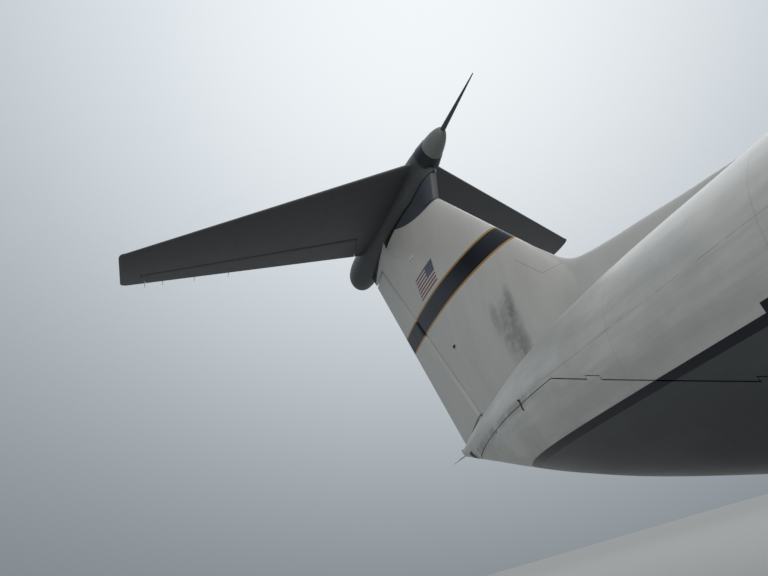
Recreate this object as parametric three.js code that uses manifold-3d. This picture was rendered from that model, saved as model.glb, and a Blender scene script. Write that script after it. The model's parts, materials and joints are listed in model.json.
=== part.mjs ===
// Four-engined T-tail military transport plane, parked on its gear, as a 1:2 scale model.
// Every size below is the real aircraft's, in metres, and M turns it into model millimetres.
// x is measured forward from the end of the tail cone, y to port and z up from the ground.
// The group is then shifted, so that the origin is on the ground under the middle of the length.
import * as THREE from "three";
import { mergeVertices } from "three/addons/utils/BufferGeometryUtils.js";
import Module from "manifold-3d";

const wasm = await Module();
wasm.setup();

const SCALE = 1 / 2;
const M = 1000 * SCALE;
const SEAT = 0.3 / M; // gap between pieces that rest on each other
const CLEAR = 8 / M; // gap round a piece that moves
const HINGE_CLEAR = 6 / M; // gap in front of a control surface's round nose

const NOSE_TIP = 47.41;
const TAIL_TIP = -3.88;
const MIDDLE = (NOSE_TIP + TAIL_TIP) / 2;

// Fuselage
const WALL = 0.16;
const RING_SIDES = 28;
const BREAKS = { aft: 20.6, centre: 31.6, forward: 41.4, radome: 45.9 };
const FLOOR_TOP = 1.6;
const FLOOR_THICK = 0.12;
const FUSELAGE = [
  // x, crown, belly, half width, height of the widest point, lower exponent
  [0.0, 4.3, 4.07, 0.18, 4.2, 2.3],
  [1.5, 4.56, 3.55, 0.67, 4.1, 2.3],
  [3.0, 4.78, 3.03, 1.14, 3.9, 2.3],
  [4.5, 4.99, 2.53, 1.53, 3.72, 2.3],
  [6.0, 5.15, 2.08, 1.72, 3.66, 2.3],
  [8.0, 5.22, 1.6, 1.85, 3.5, 2.3],
  [10.0, 5.2, 1.18, 1.97, 3.28, 2.2],
  [12.0, 5.17, 0.93, 2.09, 3.08, 2.1],
  [14.0, 5.16, 0.84, 2.15, 3.0, 2.0],
  [16.0, 5.16, 0.84, 2.16, 3.0, 2.0],
  [41.0, 5.16, 0.84, 2.16, 3.0, 2.0],
  [42.4, 5.13, 0.86, 2.14, 2.98, 2.0],
  [43.4, 5.03, 0.9, 2.08, 2.95, 2.0],
  [44.3, 4.72, 1.0, 1.92, 2.88, 2.0],
  [45.2, 4.05, 1.16, 1.68, 2.72, 2.0],
  [45.9, 3.65, 1.34, 1.44, 2.6, 2.0],
  [46.6, 3.28, 1.62, 1.06, 2.5, 2.0],
  [47.1, 2.92, 1.93, 0.64, 2.43, 2.0],
  [47.35, 2.62, 2.18, 0.26, 2.4, 2.0],
  [47.41, 2.44, 2.36, 0.04, 2.4, 2.0],
];

// Doors in the upswept tail: the seam of the petal doors in side view, and the ramp ahead of them
const PETAL_SEAM = [
  [0.95, 3.76],
  [6.1, 3.82],
  [10.55, 1.92],
];
const RAMP = { aft: 10.65, front: 14.6, topAft: 1.45, topFront: 1.52 };
const RAMP_HINGE = { z: 0.89, radius: 0.05, length: 0.3, stations: [-0.45, 0, 0.45] };
const PETAL_HINGE = { stations: [6.85, 9.15], proud: 0.03, radius: 0.07, length: 0.42 };
const KNUCKLE_SIDES = 12;
const CREW_HINGE = { stations: [39.3, 39.8], radius: 0.05, length: 0.24 };
const SIDE_DOORS = [
  // name, aft end, front end, sill, head, side
  ["crew_door", 39.1, 40.0, 1.95, 3.85, 1],
  ["paratroop_door_left", 15.6, 16.55, 1.95, 3.85, 1],
  ["paratroop_door_right", 15.6, 16.55, 1.95, 3.85, -1],
];
const WINDSCREEN = [
  [43.25, 3.98],
  [43.25, 4.42],
  [44.0, 4.62],
  [44.75, 4.95],
  [45.9, 4.3],
  [45.32, 3.9],
];
const GLASS_THICK = 0.05;
const TAIL_SOLID = 1.35; // the tail cone is solid aft of this station
const BELOW_HULL = 0.3; // lower than the whole fuselage, for cuts that run out through the belly
const PAST_HULL = 3; // further out than the fuselage's sides, for cuts that run right through it

// Rooms: the cargo floor, and boxes of the flight deck given as [lowest corner, highest corner]
const HOLD_FLOOR = { aft: 14.66, front: 41.3 };
const CABIN = { deck: 2.82, deckTop: 2.96, aft: 41.6, front: 45.0, bulkhead: 0.12, ceiling: 4.7 };
const DECK_FITTINGS = [
  // instrument panel, centre console
  [[44.45, -1.1, 2.9], [44.75, 1.1, 3.72]],
  [[43.3, -0.18, 2.9], [44.5, 0.18, 3.35]],
];
const SEAT_STATIONS = [0.62, -0.62];
const SEAT_HALF = 0.26;
const SEAT_PAN = { aft: 43.35, front: 43.95, foot: 2.95, top: 3.3 };
const SEAT_BACK = { aft: 43.25, front: 43.42, foot: 3.2, top: 4.0 };

// Wing: span station, leading edge x, height, chord, thickness ratio, twist in degrees
const WING = [
  [0.0, 31.1, 5.0, 10.11, 0.118, 3.0],
  [9.0, 26.415, 4.81, 6.46, 0.112, 2.0],
  [24.1, 18.55, 4.49, 3.42, 0.1, 0.0],
];
const WING_TIP = [24.37, 18.1, 4.485, 2.6, 0.05, 0.0];
const WING_CAMBER = 0.014;
const WING_HINGE = 0.76; // share of the chord ahead of the flap and aileron hinges
const SURFACE_REACH = { aft: 6, ahead: 0.5, inner: 1.2, outer: 0.4, low: 2, high: 13 };
const WING_SURFACES = [
  // name, inner station, outer station, panel of the wing table
  ["flap_inboard", 2.9, 8.8, 0],
  ["flap_outboard", 9.3, 17.0, 1],
  ["aileron", 17.25, 23.2, 1],
];

const WING_FAIRING = [
  // x, ridge height, half width
  [33.4, 5.17, 0.45],
  [32.0, 5.42, 1.15],
  [29.8, 5.78, 1.7],
  [26.5, 5.82, 1.8],
  [23.0, 5.58, 1.65],
  [20.9, 5.34, 1.2],
  [19.2, 5.17, 0.4],
];
const FAIRING_BASE = { height: 4.7, depth: 0.5 };

// Tail
const STABILISER = [
  [0.0, 2.56, 11.4, 4.59, 0.1, 0.0],
  [7.5, -1.51, 11.4, 1.68, 0.1, 0.0],
];
const STABILISER_TIP = [7.67, -1.75, 11.4, 1.35, 0.06, 0.0];
const ELEVATOR = { inner: 0.97, outer: 7.1, hinge: 0.72 };
const FIN_TOP = 11.1;
const FIN_LEVELS = [4.0, 6, 8.5, FIN_TOP];
const FIN = { frontTop: [2.4, 10.25], frontRun: 0.79, rearFoot: [0, 4.29], rearRun: 0.402, thick: 0.128 };
const RUDDER = { foot: [1.34, 4.63], head: [-1.55, 10.3], top: 10.35, topGap: 0.09 };
const RUDDER_SILL = { height: 4.34, slope: 0.25 }; // its lower edge, rising forward from x = 0
const PIN_RADIUS = 0.04;
const DORSAL_FOOT = 4.4; // inside the fuselage
const DORSAL_RIDGE = 0.04;
const DORSAL_SHOULDER = { height: 0.7, width: 0.6 }; // shares of the dorsal's height and foot width
const DORSAL = [
  // x, ridge height, half width at the foot
  [11.0, 5.2, 0.1],
  [9.34, 5.46, 0.2],
  [7.7, 5.73, 0.29],
  [6.5, 5.93, 0.36],
  [5.9, 6.08, 0.4],
  [5.5, 6.4, 0.42],
  [4.9, 7.04, 0.42],
];
const BULLET_HEIGHT = 11.39;
const BULLET_WIDTH = 0.82;
const BULLET = [
  // x, half height
  [3.72, 0.0],
  [3.62, 0.11],
  [3.23, 0.25],
  [2.87, 0.36],
  [2.52, 0.43],
  [1.4, 0.53],
  [0.0, 0.57],
  [-1.8, 0.57],
  [-2.9, 0.54],
  [-3.5, 0.42],
  [-3.8, 0.2],
  [-3.88, 0.0],
];
const PROBE = { tip: [5.46, 11.415], root: [3.66, 11.39], radius: 0.045, point: 0.008 };

// Engines: side, span station, intake lip x, centreline height
const ENGINES = [
  ["1", 11.9, 29.3, 3.2],
  ["2", 6.9, 31.9, 3.3],
  ["3", -6.9, 31.9, 3.3],
  ["4", -11.9, 29.3, 3.2],
];
const NACELLE = [
  // distance behind the lip, outer radius
  [0.0, 0.79],
  [0.18, 0.87],
  [0.8, 0.93],
  [2.4, 0.93],
  [3.4, 0.86],
  [5.0, 0.71],
  [6.6, 0.52],
];
const DUCT = [
  // distance behind the lip, inner radius
  [6.6, 0.46],
  [5.2, 0.6],
  [2.0, 0.73],
  [0.9, 0.73],
  [0.12, 0.73],
];
const ENGINE = [
  // distance behind the lip, radius: spinner, fan, case and exhaust cone
  [0.55, 0.0],
  [0.7, 0.14],
  [0.95, 0.2],
  [0.95, 0.73],
  [1.95, 0.73],
  [4.6, 0.44],
  [5.9, 0.36],
  [7.0, 0.05],
  [7.05, 0.0],
];

const PYLON_SECTION = [
  // share of the length ahead of the rear end, half width
  [1, 0],
  [0.9, 0.09],
  [0.6, 0.17],
  [0.25, 0.14],
  [0, 0.02],
  [0, -0.02],
  [0.25, -0.14],
  [0.6, -0.17],
  [0.9, -0.09],
];
const PYLON = {
  // each level's front and rear behind the lip or the wing's leading edge, and its height from its datum
  inNacelle: { front: 1.0, rear: 6.2, up: 0.35 },
  onNacelle: { front: 1.6, rear: 6.5, up: 0.93 },
  inWing: { front: 0.3, rear: 4.4, up: -0.02 },
};
const NACELLE_SIDES = 20;

// Landing gear
const POD_POWER = 0.8; // below 1 squares the pod's section off
const POD = [
  // x, centre y, centre z, half width, half height
  [30.4, 1.95, 1.75, 0.15, 0.3],
  [29.4, 2.1, 1.7, 0.65, 0.68],
  [27.6, 2.25, 1.66, 1.05, 0.86],
  [25.4, 2.3, 1.62, 1.2, 0.92],
  [20.8, 2.3, 1.62, 1.2, 0.92],
  [18.8, 2.2, 1.7, 0.95, 0.78],
  [17.2, 2.05, 1.85, 0.5, 0.48],
  [16.9, 2.0, 1.9, 0.3, 0.3],
];
const MAIN_GEAR = { x: 23.0, y: 2.67, axleStep: 0.61, wheelStep: 0.41, radius: 0.56, width: 0.41 };
const WELL = { halfLength: 1.42, inner: 1.98, outer: 3.36, top: 1.95 };
const NOSE_GEAR = { x: 43.1, wheelStep: 0.26, radius: 0.455, width: 0.28 };
const NOSE_WELL = { aft: 42.35, front: 44.6, half: 0.62, roof: 1.4 };
const NOSE_BAY = { end: 0.15, side: 0.1, top: 1.75 }; // walls round the nose wheel well
const COLLAR = { radius: 0.13, bore: 0.132, sides: 24 }; // the turning collar, clear of its bore's flats
const NOSE_DOOR = { low: [42.4, 0.67, 0.45], high: [44.5, 0.71, 1.4] }; // corners, before the hull's cut
const MAIN_LEG = { thin: 0.13, thick: 0.19, thickFoot: 1.25, beamHalf: 0.12, beamEnd: 0.14, beamDrop: 0.12 };
const MAIN_BRACE = { aft: 0.1, foot: 1.4, front: 1.2, drop: 0.08, radius: 0.07 };
const NOSE_LEG = { radius: 0.09, collarFoot: 1.0, top: 1.7, hubHalf: 0.12, hubSide: 0.1 };
const NOSE_LINK = { aft: 0.32, front: 0.06, half: 0.05, low: 0.1, high: 0.2 };
const NOSE_STRUT = { aft: 0.28, front: 0.08, low: 0.14, top: 1.06, radius: 0.035 };
const AXLE = { radius: 0.08, shoulder: 0.11, sides: 16, past: 0.08 };
const WHEEL_SIDES = 18;
const WHEEL_SECTION = [
  // share of the wheel's radius, share of half its width: hub, rim, sidewall, tread's edge
  [0.5, 0.45],
  [0.75, 1],
  [1, 0.62],
];
const HUB = { bore: 0.07, width: 0.35 };

const paint = (colour, roughness, metalness = 0) =>
  new THREE.MeshStandardMaterial({ color: colour, roughness, metalness });
const FINISH = {
  white: paint(0xd9dad7, 0.42),
  grey: paint(0x7d8280, 0.5),
  darkGrey: paint(0x4c514f, 0.55),
  black: paint(0x16181a, 0.5),
  glass: paint(0x1a2226, 0.08),
  metal: paint(0x9a9c9c, 0.35, 0.9),
  rubber: paint(0x161616, 0.85),
  interior: paint(0x8b9488, 0.6),
};

const aircraft = new THREE.Group();
aircraft.position.x = -MIDDLE * M;

// Solids: every shape becomes a closed manifold solid with its faces pointing out
function solidFrom(positions, triangles) {
  const geometry = new THREE.BufferGeometry();
  geometry.setAttribute("position", new THREE.Float32BufferAttribute(positions, 3));
  geometry.setIndex(triangles);
  return solidOf(geometry);
}

function solidOf(geometry) {
  const bare = geometry.clone();
  bare.deleteAttribute("normal");
  bare.deleteAttribute("uv");
  const merged = mergeVertices(bare, 1e-3);
  const at = merged.attributes.position.array;
  let index = Array.from(merged.index.array);
  const kept = [];
  for (let i = 0; i < index.length; i += 3) {
    const [a, b, c] = index.slice(i, i + 3);
    if (a !== b && b !== c && a !== c) kept.push(a, b, c);
  }
  index = kept;
  let volume = 0;
  const point = (i) => new THREE.Vector3(at[3 * i], at[3 * i + 1], at[3 * i + 2]);
  for (let i = 0; i < index.length; i += 3) {
    volume += point(index[i]).dot(point(index[i + 1]).cross(point(index[i + 2])));
  }
  if (volume < 0) {
    for (let i = 0; i < index.length; i += 3) {
      [index[i], index[i + 1]] = [index[i + 1], index[i]];
    }
  }
  const mesh = new wasm.Mesh({ numProp: 3, vertProperties: at, triVerts: new Uint32Array(index) });
  return new wasm.Manifold(mesh);
}

// A solid through closed rings that all have the same number of points, with flat ends
function loft(rings) {
  const count = rings[0].length;
  const positions = rings.flat().flatMap((p) => p.map((v) => v * M));
  const triangles = [];
  for (let r = 0; r + 1 < rings.length; r++) {
    for (let i = 0; i < count; i++) {
      const a = r * count + i;
      const b = r * count + ((i + 1) % count);
      triangles.push(a, b, b + count, a, b + count, a + count);
    }
  }
  const ends = [
    [0, 1],
    [rings.length - 1, -1],
  ];
  ends.forEach(([r, turn]) => {
    const ring = rings[r];
    const centre = positions.length / 3;
    positions.push(...[0, 1, 2].map((k) => (M * ring.reduce((sum, p) => sum + p[k], 0)) / count));
    for (let i = 0; i < count; i++) {
      const a = r * count + i;
      const b = r * count + ((i + 1) % count);
      triangles.push(centre, ...(turn > 0 ? [b, a] : [a, b]));
    }
  });
  return solidFrom(positions, triangles);
}

// A side-view outline of [x, z] points carried from y = low to y = high
function sidePrism(outline, low, high) {
  const shape = new THREE.Shape(outline.map(([x, z]) => new THREE.Vector2(x * M, z * M)));
  const geometry = new THREE.ExtrudeGeometry(shape, { depth: (high - low) * M, bevelEnabled: false });
  geometry.rotateX(Math.PI / 2);
  geometry.translate(0, high * M, 0);
  return solidOf(geometry);
}

// A plan-view outline of [x, y] points carried from z = low to z = high
function planPrism(outline, low, high) {
  const shape = new THREE.Shape(outline.map(([x, y]) => new THREE.Vector2(x * M, y * M)));
  const geometry = new THREE.ExtrudeGeometry(shape, { depth: (high - low) * M, bevelEnabled: false });
  geometry.translate(0, 0, low * M);
  return solidOf(geometry);
}

function box([x0, y0, z0], [x1, y1, z1]) {
  const geometry = new THREE.BoxGeometry((x1 - x0) * M, (y1 - y0) * M, (z1 - z0) * M);
  geometry.translate(((x0 + x1) / 2) * M, ((y0 + y1) / 2) * M, ((z0 + z1) / 2) * M);
  return solidOf(geometry);
}

// A round bar of one radius between two points
function bar(from, to, radius, sides = 16, endRadius = radius) {
  const start = new THREE.Vector3(...from).multiplyScalar(M);
  const along = new THREE.Vector3(...to).multiplyScalar(M).sub(start);
  const geometry = new THREE.CylinderGeometry(endRadius * M, radius * M, along.length(), sides);
  geometry.applyQuaternion(
    new THREE.Quaternion().setFromUnitVectors(new THREE.Vector3(0, 1, 0), along.clone().normalize()),
  );
  geometry.translate(...start.add(along.multiplyScalar(0.5)).toArray());
  return solidOf(geometry);
}

// A profile of [distance, radius] points turned about a line along x; distance runs aft from the front
function turned(profile, sides, grow = 0) {
  const points = profile.map(([d, r]) => new THREE.Vector2((r > 0 ? r + grow : 0) * M, -d * M));
  const geometry = new THREE.LatheGeometry(points, sides);
  geometry.rotateZ(-Math.PI / 2);
  return solidOf(geometry);
}

const moved = (solid, x, y, z) => solid.translate([x * M, y * M, z * M]);
const joined = (solids) => solids.reduce((sum, s) => sum.add(s));
const largest = (solid) => solid.decompose().reduce((a, b) => (b.volume() > a.volume() ? b : a));
const mirrored = (solid) => solid.mirror([0, 1, 0]);

// Pieces are kept as solids until the hinges have cut and joined them, and then become meshes
const pieces = new Map();
const make = (name, solid, material, at = [0, 0, 0]) => pieces.set(name, { solid, material, at });

function meshOf(name, { solid, material, at }) {
  const { vertProperties, triVerts, numProp } = solid.getMesh();
  const flat = [];
  for (const i of triVerts) {
    flat.push(...vertProperties.subarray(i * numProp, i * numProp + 3));
  }
  const geometry = new THREE.BufferGeometry();
  geometry.setAttribute("position", new THREE.Float32BufferAttribute(flat, 3));
  geometry.computeVertexNormals();
  const mesh = new THREE.Mesh(geometry, material);
  mesh.name = name;
  mesh.position.set(...at.map((v) => v * M));
  return mesh;
}

const along = (from, direction, distance) => from.map((v, k) => v + direction[k] * distance);
function unitFrom(a, b) {
  const step = b.map((v, k) => v - a[k]);
  const length = Math.hypot(...step);
  return step.map((v) => v / length);
}
const flipped = ([x, y, z]) => [x, -y, z];

// A hinge of three knuckles on one line: the outer two belong to the carrier and the middle one to the mover
function addHinge(moverName, carrierName, centre, direction, radius, length) {
  const [mover, carrier] = [pieces.get(moverName), pieces.get(carrierName)];
  const third = length / 3;
  const place = (distance) => along(centre, direction, distance);
  const knuckle = (from, to, size) => bar(place(from), place(to), size, KNUCKLE_SIDES);
  const outer = knuckle(-length / 2, -third / 2, radius).add(knuckle(third / 2, length / 2, radius));
  const room = knuckle(-length / 2 - CLEAR, -third / 2 + SEAT, radius + CLEAR).add(
    knuckle(third / 2 - SEAT, length / 2 + CLEAR, radius + CLEAR),
  );
  const middle = knuckle(-third / 2 + SEAT, third / 2 - SEAT, radius);
  mover.solid = mover.solid.subtract(room).add(middle);
  carrier.solid = carrier.solid.subtract(knuckle(-third / 2, third / 2, radius + CLEAR)).add(outer);
}

// A boss on a moving surface's end meets a pin of its carrier on the hinge line
function addPin(moverName, carrierName, end, outward, gap) {
  const [mover, carrier] = [pieces.get(moverName), pieces.get(carrierName)];
  const at = (distance) => along(end, outward, distance);
  mover.solid = mover.solid.add(bar(at(-0.05), at(gap / 2 - SEAT / 2), PIN_RADIUS, 10));
  carrier.solid = carrier.solid.add(bar(at(gap / 2 + SEAT / 2), at(gap + 0.06), PIN_RADIUS, 10));
}

// Fuselage: each column of the table follows a smooth curve that never overshoots its points
function smooth(column, x) {
  const n = FUSELAGE.length;
  const xs = FUSELAGE.map((row) => row[0]);
  const ys = FUSELAGE.map((row) => row[column]);
  const at = Math.min(Math.max(x, xs[0]), xs[n - 1]);
  const i = Math.min(
    xs.findLastIndex((v) => v <= at),
    n - 2,
  );
  const run = (k) => xs[k + 1] - xs[k];
  const rise = (k) => (ys[k + 1] - ys[k]) / run(k);
  const slope = (k) => {
    if (k === 0) return rise(0);
    if (k === n - 1) return rise(n - 2);
    const [before, after] = [rise(k - 1), rise(k)];
    if (before * after <= 0) return 0;
    const [w1, w2] = [2 * run(k) + run(k - 1), run(k) + 2 * run(k - 1)];
    return (w1 + w2) / (w1 / before + w2 / after);
  };
  const t = (at - xs[i]) / run(i);
  return (
    (1 + 2 * t) * (1 - t) ** 2 * ys[i] +
    t * (1 - t) ** 2 * run(i) * slope(i) +
    t * t * (3 - 2 * t) * ys[i + 1] +
    t * t * (t - 1) * run(i) * slope(i + 1)
  );
}

function fuselageRing(x, grow) {
  const [crown, belly, half, wide, low] = [1, 2, 3, 4, 5].map((column) => smooth(column, x));
  return Array.from({ length: RING_SIDES }, (_, i) => {
    const angle = (2 * Math.PI * (i + 0.5)) / RING_SIDES;
    const [c, s] = [Math.cos(angle), Math.sin(angle)];
    const power = 2 / (s > 0 ? 2 : low);
    const height = s > 0 ? crown - wide + grow : wide - belly + grow;
    return [
      x,
      (half + grow) * Math.sign(c) * Math.abs(c) ** power,
      wide + height * Math.sign(s) * Math.abs(s) ** power,
    ];
  });
}

const STATIONS = FUSELAGE.map((row) => row[0]);

// A ring at any x lies on the straight lines between the stations, so pieces cut apart still fit
function ringBetween(x, grow) {
  const i = Math.min(
    STATIONS.findLastIndex((v) => v <= x),
    STATIONS.length - 2,
  );
  const [low, high] = [STATIONS[i], STATIONS[i + 1]];
  const t = (x - low) / (high - low);
  const [before, after] = [fuselageRing(low, grow), fuselageRing(high, grow)];
  return before.map((point, k) => point.map((v, axis) => v + t * (after[k][axis] - v)));
}

function body(from, to, grow = 0) {
  const between = STATIONS.filter((x) => x > from + 0.01 && x < to - 0.01);
  return loft([from, ...between, to].map((x) => ringBetween(x, grow)));
}

const cabinOpening = (from, to) => body(from, to, -WALL);
const tailVoid = () => body(TAIL_SOLID, BREAKS.aft + 0.4, -WALL);

function petalOutline(gap) {
  const [aft, kink, front] = PETAL_SEAM;
  return [
    [aft[0] - gap, aft[1] + gap],
    [kink[0] + gap * 0.2, kink[1] + gap],
    [front[0] + gap, front[1] + gap * 0.7],
    [front[0] + gap, BELOW_HULL],
    [aft[0] - gap, BELOW_HULL],
  ];
}

function rampOutline(gap) {
  return [
    [RAMP.aft - gap, RAMP.topAft + gap],
    [RAMP.front + gap, RAMP.topFront + gap],
    [RAMP.front + gap, BELOW_HULL],
    [RAMP.aft - gap, BELOW_HULL],
  ];
}

// The skin's half width at a place in side view
function skinHalfWidth(x, z) {
  const side = ringBetween(x, 0)
    .filter((p) => p[1] > 0)
    .sort((a, b) => a[2] - b[2]);
  const i = side.findLastIndex((p) => p[2] <= z);
  const [a, b] = [side[i], side[i + 1]];
  return a[1] + ((z - a[2]) / (b[2] - a[2])) * (b[1] - a[1]);
}

function doorBox([, aft, front, sill, head, side], gap) {
  const y = side > 0 ? [1, PAST_HULL] : [-PAST_HULL, -1];
  return box([aft - gap, y[0], sill - gap], [front + gap, y[1], head + gap]);
}

const halfSeat = SEAT / 2;
const through = (outline) => sidePrism(outline, -PAST_HULL, PAST_HULL);

function buildFuselage() {
  const betweenDoors = box(
    [PETAL_SEAM[2][0], -PAST_HULL, BELOW_HULL],
    [RAMP.aft, PAST_HULL, RAMP.topAft + CLEAR],
  );
  const openings = joined([through(petalOutline(CLEAR)), through(rampOutline(CLEAR)), betweenDoors]);
  let aft = body(0, BREAKS.aft - halfSeat).subtract(tailVoid()).subtract(openings);
  SIDE_DOORS.slice(1).forEach((row) => {
    aft = aft.subtract(doorBox(row, SEAT));
  });
  make("fuselage_aft", largest(aft.subtract(wingCutter())), FINISH.white);

  const centre = body(BREAKS.aft + halfSeat, BREAKS.centre - halfSeat)
    .subtract(cabinOpening(BREAKS.aft - 1, BREAKS.centre + 1))
    .subtract(wingCutter());
  make("fuselage_centre", largest(centre), FINISH.white);

  const forward = body(BREAKS.centre + halfSeat, BREAKS.forward - halfSeat)
    .subtract(cabinOpening(BREAKS.centre - 1, BREAKS.forward + 1))
    .subtract(doorBox(SIDE_DOORS[0], CLEAR));
  make("fuselage_forward", largest(forward), FINISH.white);

  const well = box(
    [NOSE_WELL.aft, -NOSE_WELL.half, BELOW_HULL],
    [NOSE_WELL.front, NOSE_WELL.half, NOSE_WELL.roof],
  );
  const nose = body(BREAKS.forward + halfSeat, BREAKS.radome - halfSeat)
    .subtract(cabinOpening(BREAKS.forward - 1, BREAKS.radome - WALL))
    .subtract(well)
    .subtract(through(WINDSCREEN));
  make("fuselage_nose", largest(nose), FINISH.white);
  const bay = body(BREAKS.forward + 0.1, BREAKS.radome - WALL, -WALL - SEAT)
    .intersect(
      box(
        [NOSE_WELL.aft - NOSE_BAY.end, -NOSE_WELL.half - NOSE_BAY.side, BELOW_HULL],
        [NOSE_WELL.front + NOSE_BAY.end, NOSE_WELL.half + NOSE_BAY.side, NOSE_BAY.top],
      ),
    )
    .subtract(well)
    .subtract(bar([NOSE_GEAR.x, 0, 1], [NOSE_GEAR.x, 0, 2], COLLAR.bore, COLLAR.sides));
  make("nose_wheel_bay", largest(bay), FINISH.interior);
  make("radome", body(BREAKS.radome + halfSeat, NOSE_TIP), FINISH.black);

  const slot = through(
    WINDSCREEN.map(([x, z]) => [x + (x < 43.5 ? SEAT : -SEAT), z + (z < 4 ? SEAT : -SEAT)]),
  );
  const pane = body(BREAKS.forward + 1, BREAKS.radome - 0.1).subtract(
    body(BREAKS.forward, BREAKS.radome, -GLASS_THICK),
  );
  make("windscreen", largest(pane.intersect(slot)), FINISH.glass);
}

function buildDoors() {
  const shell = body(0, BREAKS.aft).subtract(tailVoid());
  const petals = shell.intersect(through(petalOutline(0)));
  const portHalf = box([0, CLEAR / 2, 0], [RAMP.front, PAST_HULL, FIN_TOP]);
  const port = largest(petals.intersect(portHalf));
  make("petal_door_left", port, FINISH.grey);
  make("petal_door_right", mirrored(port), FINISH.grey);
  const [, kink, front] = PETAL_SEAM;
  const [start, end] = PETAL_HINGE.stations.map((x) => {
    const z = kink[1] + ((front[1] - kink[1]) * (x - kink[0])) / (front[0] - kink[0]) + CLEAR / 2;
    return [x, skinHalfWidth(x, z) + PETAL_HINGE.proud, z];
  });
  [start, end].forEach((at) => {
    const direction = unitFrom(start, end);
    addHinge("petal_door_left", "fuselage_aft", at, direction, PETAL_HINGE.radius, PETAL_HINGE.length);
    const [mirrorAt, turn] = [flipped(at), flipped(direction)];
    addHinge("petal_door_right", "fuselage_aft", mirrorAt, turn, PETAL_HINGE.radius, PETAL_HINGE.length);
  });

  const rampBody = body(RAMP.aft - 1, RAMP.front + 1);
  make("cargo_ramp", largest(rampBody.intersect(through(rampOutline(0)))), FINISH.grey);
  RAMP_HINGE.stations.forEach((y) => {
    const at = [RAMP.front + CLEAR / 2, y, RAMP_HINGE.z];
    addHinge("cargo_ramp", "fuselage_aft", at, [0, 1, 0], RAMP_HINGE.radius, RAMP_HINGE.length);
  });

  SIDE_DOORS.forEach((row) => {
    const [name, doorAft, doorFront] = row;
    const wall = body(doorAft - 1, doorFront + 1).subtract(cabinOpening(doorAft - 2, doorFront + 2));
    make(name, largest(wall.intersect(doorBox(row, 0))), FINISH.white);
  });
  const sill = SIDE_DOORS[0][3] - CLEAR / 2;
  CREW_HINGE.stations.forEach((x) => {
    const at = [x, skinHalfWidth(x, sill), sill];
    addHinge("crew_door", "fuselage_forward", at, [1, 0, 0], CREW_HINGE.radius, CREW_HINGE.length);
  });

  const belly = body(NOSE_DOOR.low[0] - 1, NOSE_DOOR.high[0] + 1, SEAT);
  const hung = largest(box(NOSE_DOOR.low, NOSE_DOOR.high).subtract(belly));
  make("nose_door_left", hung, FINISH.white);
  make("nose_door_right", mirrored(hung), FINISH.white);
}

// Rooms: the cargo floor and the flight deck
function buildInterior() {
  const inside = body(HOLD_FLOOR.aft, BREAKS.forward - 0.05, -WALL - SEAT);
  const slab = box([HOLD_FLOOR.aft, -2, FLOOR_TOP - FLOOR_THICK], [HOLD_FLOOR.front, 2, FLOOR_TOP]);
  make("cargo_floor", inside.intersect(slab), FINISH.interior);

  const cabin = body(BREAKS.forward + 0.1, BREAKS.radome - WALL - 0.05, -WALL - SEAT);
  const seatBlock = (y, { aft, front, foot, top }) =>
    box([aft, y - SEAT_HALF, foot], [front, y + SEAT_HALF, top]);
  const seats = SEAT_STATIONS.map((y) => seatBlock(y, SEAT_PAN).add(seatBlock(y, SEAT_BACK)));
  const deck = box([CABIN.aft, -2, CABIN.deck], [CABIN.front, 2, CABIN.deckTop]);
  const bulkhead = box([CABIN.aft, -2, CABIN.deck + 0.08], [CABIN.aft + CABIN.bulkhead, 2, CABIN.ceiling]);
  const fittings = joined([deck, bulkhead, ...DECK_FITTINGS.map(([low, high]) => box(low, high)), ...seats]);
  make("flight_deck", largest(cabin.intersect(fittings)), FINISH.interior);
}

// Lifting surfaces: sections are [span station, leading edge x, height, chord, thickness ratio, twist]
const MOST_THICK = 0.4;
const TRAILING_EDGE = 0.008;
const PROFILE = [0, 0.012, 0.05, 0.13, 0.25, 0.4, 0.55, 0.7, 0.85, 1];

// Half thickness as a share of the full thickness: an ellipse ahead of 40% chord, a curved taper behind
function halfThickness(f) {
  if (f < MOST_THICK) return 0.5 * Math.sqrt(1 - ((MOST_THICK - f) / MOST_THICK) ** 2);
  return 0.5 * (1 - ((f - MOST_THICK) / (1 - MOST_THICK)) ** 1.7);
}

// A section on one panel of a table, carried on past the panel's ends where it is asked for
function sectionOn(table, panel, s) {
  const t = (s - table[panel][0]) / (table[panel + 1][0] - table[panel][0]);
  return table[panel].map((v, k) => v + t * (table[panel + 1][k] - v));
}

function sectionAt(table, s) {
  const last = table.findLastIndex((row) => row[0] <= s);
  return sectionOn(table, Math.max(0, Math.min(table.length - 2, last)), s);
}

// A point of a wing-like section: f along the chord, side +1 above or -1 below, and 0 on the mean line
function wingPoint([y, front, height, chord, ratio, twist], f, side, camber, grow = 0) {
  const mean = camber * 4 * f * (1 - f) * chord;
  const half = halfThickness(f) * ratio * chord + mean * side + TRAILING_EDGE / 2 + grow;
  const lift = side === 0 ? mean : side * half;
  const back = f * (chord + 2 * grow) - grow;
  const a = (twist * Math.PI) / 180;
  const [c, s] = [Math.cos(a), Math.sin(a)];
  return [front - back * c - lift * s, y, height - back * s + lift * c];
}

function wingRing(row, camber, grow) {
  return [
    ...PROFILE.map((f) => wingPoint(row, f, 1, camber, grow)),
    ...PROFILE.slice(1)
      .reverse()
      .map((f) => wingPoint(row, f, -1, camber, grow)),
  ];
}

function wingSolid(grow = 0) {
  const root = sectionAt(WING, halfSeat);
  const rows = [root, ...WING.slice(1), WING_TIP];
  if (grow > 0) rows.unshift([-0.1, ...root.slice(1)]);
  return loft(rows.map((row) => wingRing(row, WING_CAMBER, grow)));
}

const wingCutter = () => wingSolid(SEAT).add(mirrored(wingSolid(SEAT)));

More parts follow.
